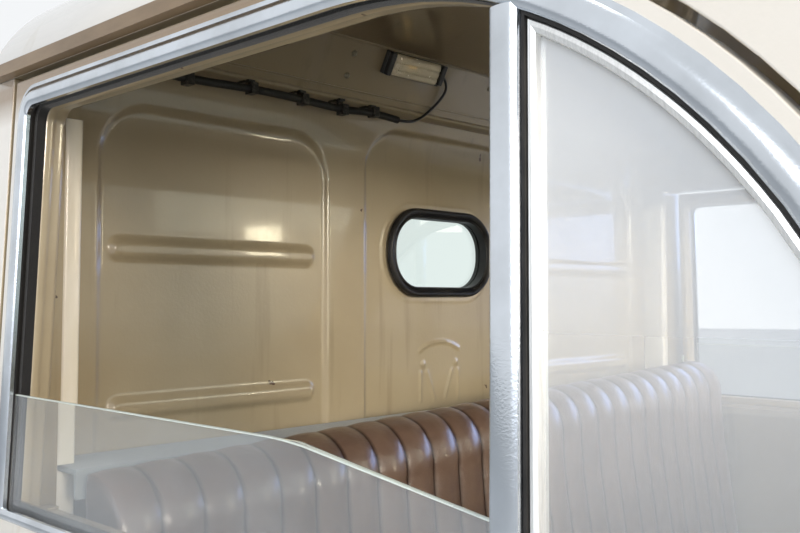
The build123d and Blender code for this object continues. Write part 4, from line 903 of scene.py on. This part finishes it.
# Ground glass edge: frosted, pale green, catching the light as a bright line
ground_edge, tree, shader = finish_of(
    "ground_glass_edge", Roughness=0.4, Transmission_Weight=0.2, IOR=1.5
)
grit = add_node(tree, "ShaderNodeTexNoise", {"Scale": 1200.0}, {"Vector": place_in(tree)})
tree.links.new(
    blended(tree, grit.outputs["Fac"], "#FBFDF6", "#E4F0E2"), shader.inputs["Base Color"]
)
bumped(tree, shader, grit.outputs["Fac"], 0.0001)

glass_top = (0.850 - side_z) / math.cos(lean)
glass_front = (0.824 - side_z) / math.cos(lean)
glass_edge_line = [(opening_rear - 0.0035, glass_top)] + [
    (-0.190 + run / 1000, glass_top - drop / 1000)
    for run, drop in ((-30, 0), (-12, 0.8), (6, 2.4), (24, 5.0))
] + [(-0.0195, glass_front)]
edge_profile = millimetres((-0.4, -6.0), (0.3, -6.2), (0.7, -7.0), (0.7, -9.0), (0.3, -9.8), (-0.4, -10.0))

# Casein plastic: ivory, turned on a lathe with three ribs, yellowed in random patches
ivory_casein, tree, shader = finish_of("ivory_casein", Roughness=0.28, Subsurface_Weight=0.15)
yellowed = add_node(tree, "ShaderNodeTexNoise", {"Scale": 120.0, "Detail": 3.0}, {"Vector": place_in(tree)})
tree.links.new(
    blended(tree, meets(tree, 0.4, 0.7, yellowed.outputs["Fac"]), "#EFE8D6", "#DACBA4"),
    shader.inputs["Base Color"],
)
bumped(tree, shader, yellowed.outputs["Fac"], 0.0002)
knob_outline = [(radius / 1000, height / 1000) for radius, height in (
    (0.0, 64.0), (4.6, 64.0), (5.4, 65.0), (5.6, 67.0), (4.9, 68.6), (6.2, 70.0), (6.8, 72.0), (5.8, 74.0),
    (7.2, 75.6), (7.8, 78.0), (6.8, 80.2), (7.9, 82.2), (8.0, 86.0), (6.6, 89.6), (3.8, 91.6), (0.0, 92.0),
)]
ferrule_outline = [(radius / 1000, height / 1000) for radius, height in (
    (0.0, -3.0), (8.4, -3.0), (8.4, 0.6), (7.2, 2.4), (4.6, 3.4), (4.2, 5.4), (2.5, 6.0), (0.0, 6.0),
)]
rod_outline = [(0.0, 0.001), (0.0024, 0.001), (0.0024, 0.065), (0.0, 0.065)]

for side in ("right", "left"):
    surround = strip(f"window_trim_{side}", opening_line, surround_profile, chromium_plate, "bright_chrome", side)
    sill = strip(
        f"sill_trim_{side}", [(opening_rear, 0.0), (opening_front, 0.0)], sill_profile, chromium_plate,
        "bright_chrome", side,
    )
    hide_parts(f"window_surround_{side}")
    run = strip(f"felt_run_{side}", opening_line, run_profile, pile_felt, "black_rubber", side, crisp=60)
    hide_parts(f"glass_run_{side}")
    strip(f"inner_frame_{side}", opening_line, frame_profile, cream_enamel, "body_paint", side, crisp=50)
    bar = strip(f"division_bar_{side}", bar_line, bar_profile, chromium_plate, "bright_chrome", side)
    light = strip(
        f"quarter_frame_{side}", light_line, light_profile, anodised_aluminium, "satin_aluminium", side,
        closed=True,
    )
    strip(f"quarter_rubber_{side}", light_line, rubber_profile, moulded_rubber, "black_rubber", side, closed=True)
    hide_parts(f"quarter_light_{side}")
    middle = Vector((0.110, 0.12))
    pane = [(x + (middle.x - x) * 0.055, up + (middle.y - up) * 0.055) for x, up in light_line]
    rings = [[on_side(x, up, out, side) for x, up in pane] for out in (-0.0068, -0.0100)]
    quarter_pane = new_piece(
        f"quarter_pane_{side}", [point for ring in rings for point in ring], skinned(rings, False),
        haze_and_glare_glass, "clear_glass", f"door_{side}",
    )
    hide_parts(f"quarter_glass_{side}")
    dress((f"window_glass_{side}",), haze_and_reflection_glass)
    for pane in (f"window_glass_{side}", f"quarter_pane_{side}"):
        bpy.data.objects[pane].visible_shadow = False
    strip(f"glass_edge_{side}", glass_edge_line, edge_profile, ground_edge, "clear_glass", side)
    seal = strip(
        f"wiper_strip_{side}", [(opening_rear, 0.0), (bar_foot - bar_half, 0.0)],
        millimetres((0.0, -10.6), (12.0, -10.5), (15.4, -11.4), (16.2, -13.4), (15.0, -15.6), (0.0, -16.6)),
        moulded_rubber, "black_rubber", side, crisp=60,
    )
    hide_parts(f"sill_seal_{side}")
    strip(
        f"inner_sill_{side}", [(opening_rear - 0.006, 0.0), (opening_front, 0.0)], inner_sill_profile,
        cream_enamel, "body_paint", side,
    )
    foot = (-0.618, -0.679 if side == "right" else 0.679, side_z)
    knob = turned(
        f"turned_lock_knob_{side}", knob_outline, foot, (0, 0, 1), ivory_casein, "ivory_plastic", f"door_{side}"
    )
    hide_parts(f"lock_knob_{side}")
    turned(f"lock_rod_{side}", rod_outline, foot, (0, 0, 1), zinc_plate, "clip_steel", f"door_{side}", sides=12)
    turned(f"lock_ferrule_{side}", ferrule_outline, foot, (0, 0, 1), chromium_plate, "bright_chrome",
           f"door_{side}", sides=24)
    dress((f"outer_handle_{side}", f"inner_handles_{side}"), chromium_plate, 0.002)
    dress((f"door_shell_{side}",), cream_enamel, 0.0015)


# Bench seat: hair and springs under leathercloth, sewn into twenty-six upright rolls. The
# rolls are blown up by a cloth simulation between their seams, which are held.
seat_half = 0.640
roll_count = 26
roll_pitch = 2 * seat_half / roll_count
roll_places = (0.0, 0.05, 0.17, 0.36, 0.5, 0.64, 0.83, 0.95)


def along_path(corners, spacing):
    """Evenly spaced points along straight runs between corners, in side view."""
    points = []
    for start, end in zip(corners, corners[1:]):
        run = Vector(end) - Vector(start)
        steps = max(1, round(run.length / spacing))
        points += [Vector(start) + run * step / steps for step in range(steps)]
    return points


def arc(middle, radius, first, last, steps):
    """Points of an arc in side view, between two angles in degrees."""
    return [
        (middle[0] + radius * math.cos(math.radians(first + (last - first) * step / steps)),
         middle[1] + radius * math.sin(math.radians(first + (last - first) * step / steps)))
        for step in range(steps + 1)
    ]


back_outline = along_path(
    [(-0.4475, 0.2335), (-0.5120, 0.664), *arc((-0.5790, 0.7370), 0.0620, -8, 88, 12), (-0.5870, 0.797),
     (-0.5895, 0.788), (-0.5885, 0.760), (-0.551, 0.2335), (-0.4475, 0.2335)], 0.016,
)
cushion_outline = along_path(
    [(-0.4385, 0.2335), (-0.4385, 0.346), (0.010, 0.3585), *arc((0.010, 0.3035), 0.055, 88, 2, 9),
     (0.053, 0.2335), (-0.4385, 0.2335)], 0.016,
)


def rolled(name, outline, puffed, fall):
    """Row of rolls round a side outline: outer where puffed, and falling towards the near end."""
    columns = [
        (seat_half - 0.004 - roll_pitch * roll * (1 - 0.008 / 1.28) - roll_pitch * place, place)
        for roll in range(roll_count) for place in roll_places
    ] + [(-seat_half + 0.004, 0.0)]
    columns = [(min(max(y, -seat_half + 0.004), seat_half - 0.004), place) for y, place in columns]
    middle = Vector((sum(point.x for point in outline), sum(point.y for point in outline))) / len(outline)
    count = len(outline)
    points, seams = [], []
    for y, place in columns:
        crown = 1 - abs(2 * place - 1) ** 2.4
        share = (y + seat_half) / (2 * seat_half)
        for index, point in enumerate(outline):
            run = (outline[(index + 1) % count] - outline[index - 1]).normalized()
            outer = Vector((run.y, -run.x))
            if outer.dot(point - middle) < 0:
                outer = -outer
            depth = 0.0070 - 0.0030 * min(max((point.y - 0.74) / 0.05, 0), 1)
            swell = -0.0075 + depth * crown + 0.0070 - depth
            place_2d = point + outer * swell * puffed(point)
            rise = fall(share) * min(max((point.y - 0.45) / 0.30, 0), 1)
            points.append((place_2d.x, y, place_2d.y + rise))
            if place == 0.0 or puffed(point) < 0.5:
                seams.append(len(points) - 1)
    faces = []
    for column in range(len(columns) - 1):
        for index in range(count):
            beside = (index + 1) % count
            faces.append((column * count + index, column * count + beside,
                          (column + 1) * count + beside, (column + 1) * count + index))
    faces.append(tuple(range(count)))
    faces.append(tuple((len(columns) - 1) * count + index for index in reversed(range(count))))
    piece = new_piece(name, points, faces, leathercloth, "seat_vinyl", crisp=180)
    held = piece.vertex_groups.new(name="seams")
    held.add(seams, 1.0, "REPLACE")
    return piece, set(seams)


def blown_up(piece, held, most):
    """Blows the rolls up between their held seams, and caps how far a point may move."""
    start = np.empty(len(piece.data.vertices) * 3)
    piece.data.vertices.foreach_get("co", start)
    start = start.reshape(-1, 3)
    cloth = piece.modifiers.new("cloth", "CLOTH")
    cloth.settings.use_pressure = True
    cloth.settings.uniform_pressure_force = 4.0
    cloth.settings.effector_weights.gravity = 0.0
    cloth.settings.vertex_group_mass = "seams"
    cloth.settings.tension_stiffness = 12
    cloth.settings.compression_stiffness = 12
    cloth.settings.bending_stiffness = 0.6
    cloth.point_cache.frame_start = 1
    cloth.point_cache.frame_end = 20
    for step in range(1, 21):
        scene.frame_set(step)
    shape = piece.evaluated_get(bpy.context.evaluated_depsgraph_get()).data
    end = np.empty(len(piece.data.vertices) * 3)
    shape.vertices.foreach_get("co", end)
    moved = end.reshape(-1, 3) - start
    piece.modifiers.remove(cloth)
    scene.frame_set(1)
    length = np.maximum(np.linalg.norm(moved, axis=1, keepdims=True), 1e-9)
    moved *= np.minimum(length, most) / length
    piece.data.vertices.foreach_set("co", (start + moved).reshape(-1))
    piece.data.update()


# Leathercloth: red-brown coated cotton with a pebbled grain, paler in random patches, finely
# creased all over, and dark along the seams as painted shade in the valleys between the rolls
leathercloth, tree, shader = finish_of(
    "leathercloth", Roughness=0.34, Coat_Weight=0.5, Coat_Roughness=0.16, Specular_IOR_Level=0.55
)
place = place_in(tree)
parts = add_node(tree, "ShaderNodeSeparateXYZ", links={"Vector": place})
across = add_node(
    tree, "ShaderNodeMath", {1: 1 / (roll_pitch * (1 - 0.008 / 1.28))}, {0: parts.outputs["Y"]}, operation="MULTIPLY"
)
across = add_node(tree, "ShaderNodeMath", {1: 0.5}, {0: across.outputs[0]}, operation="PINGPONG")
worn = add_node(tree, "ShaderNodeTexNoise", {"Scale": 30.0, "Detail": 4.0}, {"Vector": place})
shade = blended(tree, meets(tree, 0.3, 0.75, worn.outputs["Fac"]), "#634D3F", "#725C4D")
# Dark lines along the seams: painted shade in the valleys between the rolls
seam_valley_shade = add_node(
    tree, "ShaderNodeMapRange", {"From Min": 0.0, "From Max": 0.09, "To Min": 1.0, "To Max": 0.0},
    {"Value": across.outputs[0]},
)
shade = blended(tree, seam_valley_shade.outputs[0], shade, "#2C1B14")
tree.links.new(shade, shader.inputs["Base Color"])
pebbles = add_node(
    tree, "ShaderNodeTexVoronoi", {"Scale": 520.0}, {"Vector": place}, feature="DISTANCE_TO_EDGE"
)
creases = add_node(
    tree, "ShaderNodeTexNoise", {"Scale": 1.0, "Detail": 5.0, "Distortion": 1.2},
    {"Vector": place_in(tree, (260, 90, 140))},
)
soft = add_node(tree, "ShaderNodeTexNoise", {"Scale": 26.0, "Detail": 2.0}, {"Vector": place})
first = bumped(tree, shader, soft.outputs["Fac"], 0.004, 0.5)
second = bumped(tree, shader, creases.outputs["Fac"], 0.0008, 0.5, before=first)
bumped(tree, shader, pebbles.outputs["Distance"], 0.0003, 0.4, before=second)

seat_back, held = rolled(
    "rolled_seat_back", back_outline, lambda point: 1.0 if point.x > -0.584 and point.y > 0.25 else 0.0,
    lambda share: -0.027 + 0.050 * share,
)
blown_up(seat_back, held, 0.006)
seat_cushion, held = rolled(
    "rolled_seat_cushion", cushion_outline, lambda point: 1.0 if point.y > 0.25 and point.x > -0.43 else 0.0,
    lambda share: 0.0,
)
blown_up(seat_cushion, held, 0.006)
for piece, node in ((seat_back, "seat_back"), (seat_cushion, "seat_cushion")):
    smooth = piece.modifiers.new("smooth", "SUBSURF")
    smooth.levels = 1
    smooth.render_levels = 1
    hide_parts(node)


# Windscreen surround and body mounts: the same black rubber, the mounts moulded in blocks
# and bonded under the floor.
dress(("body_mounts",), moulded_rubber, 0.003)
dress(("windscreen_seal",), moulded_rubber, 0.002)

# Cover strip on the inner edge of each door pillar: a folded sheet section. Its near-white enamel, far paler than
# the cream body, is painted sunlight on the strip.
sunlit_strip_paint, tree, shader = finish_of("pale_enamel_painted_sunlight", Roughness=0.3, Coat_Weight=0.5)
aged = add_node(tree, "ShaderNodeTexNoise", {"Scale": 30.0, "Detail": 4.0}, {"Vector": place_in(tree, (1, 1, 0.3))})
# Near-white colours: painted sunlight
tree.links.new(
    blended(tree, meets(tree, 0.35, 0.7, aged.outputs["Fac"]), "#F7F0E2", "#ECE2CC"), shader.inputs["Base Color"]
)
bumped(tree, shader, aged.outputs["Fac"], 0.0008, 0.4)
for side, hand in (("right", -1), ("left", 1)):
    rings = []
    for z, tuck in ((0.110, 0.0), (0.736, 0.0), (1.1275, 0.003)):
        rings.append([(forward, hand * (across - tuck), z) for across, forward in (
            (0.6410, -0.6800), (0.6410, -0.6390), (0.6395, -0.6370), (0.6370, -0.6362), (0.6245, -0.6362),
            (0.6220, -0.6374), (0.6212, -0.6400), (0.6212, -0.6600), (0.6245, -0.6800),
        )])
    new_piece(f"pillar_moulding_{side}", [point for ring in rings for point in ring], skinned(rings, False),
              sunlit_strip_paint, "body_paint", crisp=50)

# Stove-enamelled steel: the seat's frame, the column and the pedals' arms, satin black with
# grey rubs in random patches
stoved_black, tree, shader = finish_of("stoved_black_enamel", Roughness=0.38)
rubs = add_node(tree, "ShaderNodeTexNoise", {"Scale": 26.0, "Detail": 6.0}, {"Vector": place_in(tree)})
fine = add_node(tree, "ShaderNodeTexNoise", {"Scale": 500.0}, {"Vector": place_in(tree)})
tree.links.new(
    blended(tree, meets(tree, 0.55, 0.85, rubs.outputs["Fac"]), "#191816", "#4B4944"),
    shader.inputs["Base Color"],
)
tree.links.new(meets(tree, -0.6, 1.8, rubs.outputs["Fac"]), shader.inputs["Roughness"])
bumped(tree, shader, fine.outputs["Fac"], 0.0001)
dress(("seat_base", "column_bracket", "pedals", "gear_lever", "handbrake", "steering_column"), stoved_black,
      0.001)

# Steering wheel: a hard black moulded rim with finger grips underneath, on three sprung
# steel spokes, and a domed horn button in the hub.
tilt = math.radians(36)
wheel_place = Vector((-0.060, 0.330, 0.690))
wheel_down = Vector((math.cos(tilt), 0, -math.sin(tilt)))
wheel_up = Vector((math.sin(tilt), 0, math.cos(tilt)))
wheel_side = Vector((0, 1, 0))


def on_wheel(angle, radius, down):
    """Place on the wheel: round it in degrees, out from its axis and down along it."""
    turn = math.radians(angle)
    return (wheel_place + wheel_side * radius * math.cos(turn) + wheel_up * radius * math.sin(turn)
            + wheel_down * down)


# Hard rubber: black, polished by hands to a soft shine
ebonite, tree, shader = finish_of("ebonite", Base_Color=srgb("#131211"), Roughness=0.24)
handled = add_node(tree, "ShaderNodeTexNoise", {"Scale": 22.0, "Detail": 4.0}, {"Vector": place_in(tree)})
tree.links.new(meets(tree, -0.3, 2.4, handled.outputs["Fac"]), shader.inputs["Roughness"])
bumped(tree, shader, handled.outputs["Fac"], 0.0006, 0.3)

rings = []
for step in range(180):
    angle = 2 * step
    grip = 0.0013 * (0.5 + 0.5 * math.cos(math.radians(angle * 36)))
    rings.append([
        on_wheel(angle, 0.200 + (0.0105 - (grip if side > 8 else 0)) * math.cos(math.radians(22.5 * side)),
                 0.014 - (0.0105 - (grip if side > 8 else 0)) * math.sin(math.radians(22.5 * side)))
        for side in range(16)
    ])
rim = new_piece("wheel_rim", [point for ring in rings for point in ring], skinned(rings, True), ebonite,
                "black_plastic", "steering", crisp=180)
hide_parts("steering_wheel")
for index, angle in enumerate((90, 210, 330)):
    for shift in (-0.007, 0.007):
        along = Vector(on_wheel(angle + 90, 1, 0)) - wheel_place
        rings = []
        for step in range(15):
            out = 0.020 + 0.178 * step / 14
            sag = 0.010 + 0.006 * math.sin(math.pi * step / 14)
            centre = Vector(on_wheel(angle, out, sag)) + along * shift * (1 - 0.4 * step / 14)
            rings.append([centre + along * 0.0030 * math.cos(math.radians(45 * side + 22.5))
                          + wheel_down * 0.0030 * math.sin(math.radians(45 * side + 22.5)) for side in range(8)])
        new_piece(f"wheel_spoke_{index}_{'a' if shift < 0 else 'b'}", [point for ring in rings for point in ring],
                  skinned(rings, False), chromium_plate, "black_plastic", "steering", crisp=50)
turned("wheel_hub", [(0.0, 0.056), (0.030, 0.056), (0.031, 0.040), (0.033, 0.024), (0.034, 0.010),
                     (0.032, 0.004), (0.026, 0.001), (0.0, 0.001)],
       wheel_place, wheel_down, ebonite, "black_plastic", "steering", sides=48)
turned("horn_button", [(0.0, 0.002), (0.0235, 0.002), (0.0235, -0.0015), (0.0215, -0.0040), (0.015, -0.0062),
                       (0.007, -0.0074), (0.0, -0.0078)],
       wheel_place, wheel_down, chromium_plate, "black_plastic", "steering", sides=48)

# Dial: one round instrument in a bright bezel on the driver's side, with white figures left
# off, plain tick marks and a thin black pointer under domed glass.
dash_x, dash_z = 0.2585, 0.630
dash_out = Vector((-0.9985, 0, -0.0430)).normalized()


def on_dash(y, rise, proud):
    """Place on the instrument panel's face: across, up and out towards the driver."""
    return Vector((dash_x - rise * 0.043, y, dash_z + rise)) + dash_out * proud


dial_middle = on_dash(0.330, 0.0, 0.012)
turned("dial_bezel", [(0.0440, -0.001), (0.0520, -0.001), (0.0520, 0.0030), (0.0500, 0.0052), (0.0470, 0.0056),
                      (0.0445, 0.0040), (0.0440, 0.0010)],
       dial_middle, dash_out, chromium_plate, "bright_chrome", sides=64, crisp=60)

# Enamelled dial: cream face with dark ticks, under flat glass
dial_face, tree, shader = finish_of("enamelled_dial", Roughness=0.5)
fleck = add_node(tree, "ShaderNodeTexNoise", {"Scale": 200.0, "Detail": 2.0}, {"Vector": place_in(tree)})
tree.links.new(blended(tree, fleck.outputs["Fac"], "#E8E0CB", "#D9CFB6"), shader.inputs["Base Color"])
bumped(tree, shader, fleck.outputs["Fac"], 0.0001)
turned("dial_face", [(0.0, 0.0), (0.0445, 0.0), (0.0445, 0.0012), (0.0, 0.0012)], dial_middle, dash_out,
       dial_face, "body_paint", sides=64)
dial_turn = dash_out.to_track_quat("Z", "Y")
for index in range(13):
    angle = math.radians(-120 + 20 * index - 90)
    start, end = (
        dial_middle + dial_turn @ Vector((radius * math.cos(angle), radius * math.sin(angle), 0.0014))
        for radius in (0.033 if index % 3 else 0.030, 0.040)
    )
    new_piece(f"dial_tick_{index}", *rod(start, end, 0.0005, 6), stoved_black, "painted_steel_black")
angle = math.radians(-60)
new_piece("dial_pointer", *rod(dial_middle + dash_out * 0.003,
          dial_middle + dial_turn @ Vector((0.034 * math.cos(angle), 0.034 * math.sin(angle), 0.003)), 0.0007, 6),
          stoved_black, "painted_steel_black")
turned("dial_glass", [(0.0, 0.0042), (0.0442, 0.0042), (0.0442, 0.0050), (0.0, 0.0056)], dial_middle, dash_out,
       window_glass, "clear_glass", sides=48)
for index, y in enumerate((0.180, 0.120, -0.080)):
    turned(f"dash_knob_{index}", [(0.0, 0.0), (0.0050, 0.0), (0.0050, 0.010), (0.0105, 0.012), (0.0115, 0.017),
                                  (0.0100, 0.022), (0.0050, 0.0245), (0.0, 0.0250)],
           on_dash(y, 0.0, 0.002), dash_out, ebonite, "black_plastic", sides=24)
turned("glove_box_knob", [(0.0, 0.0), (0.0060, 0.0), (0.0060, 0.006), (0.0110, 0.008), (0.0115, 0.014),
                          (0.0070, 0.018), (0.0, 0.0185)],
       on_dash(-0.330, 0.024, 0.0), dash_out, chromium_plate, "bright_chrome", sides=32)
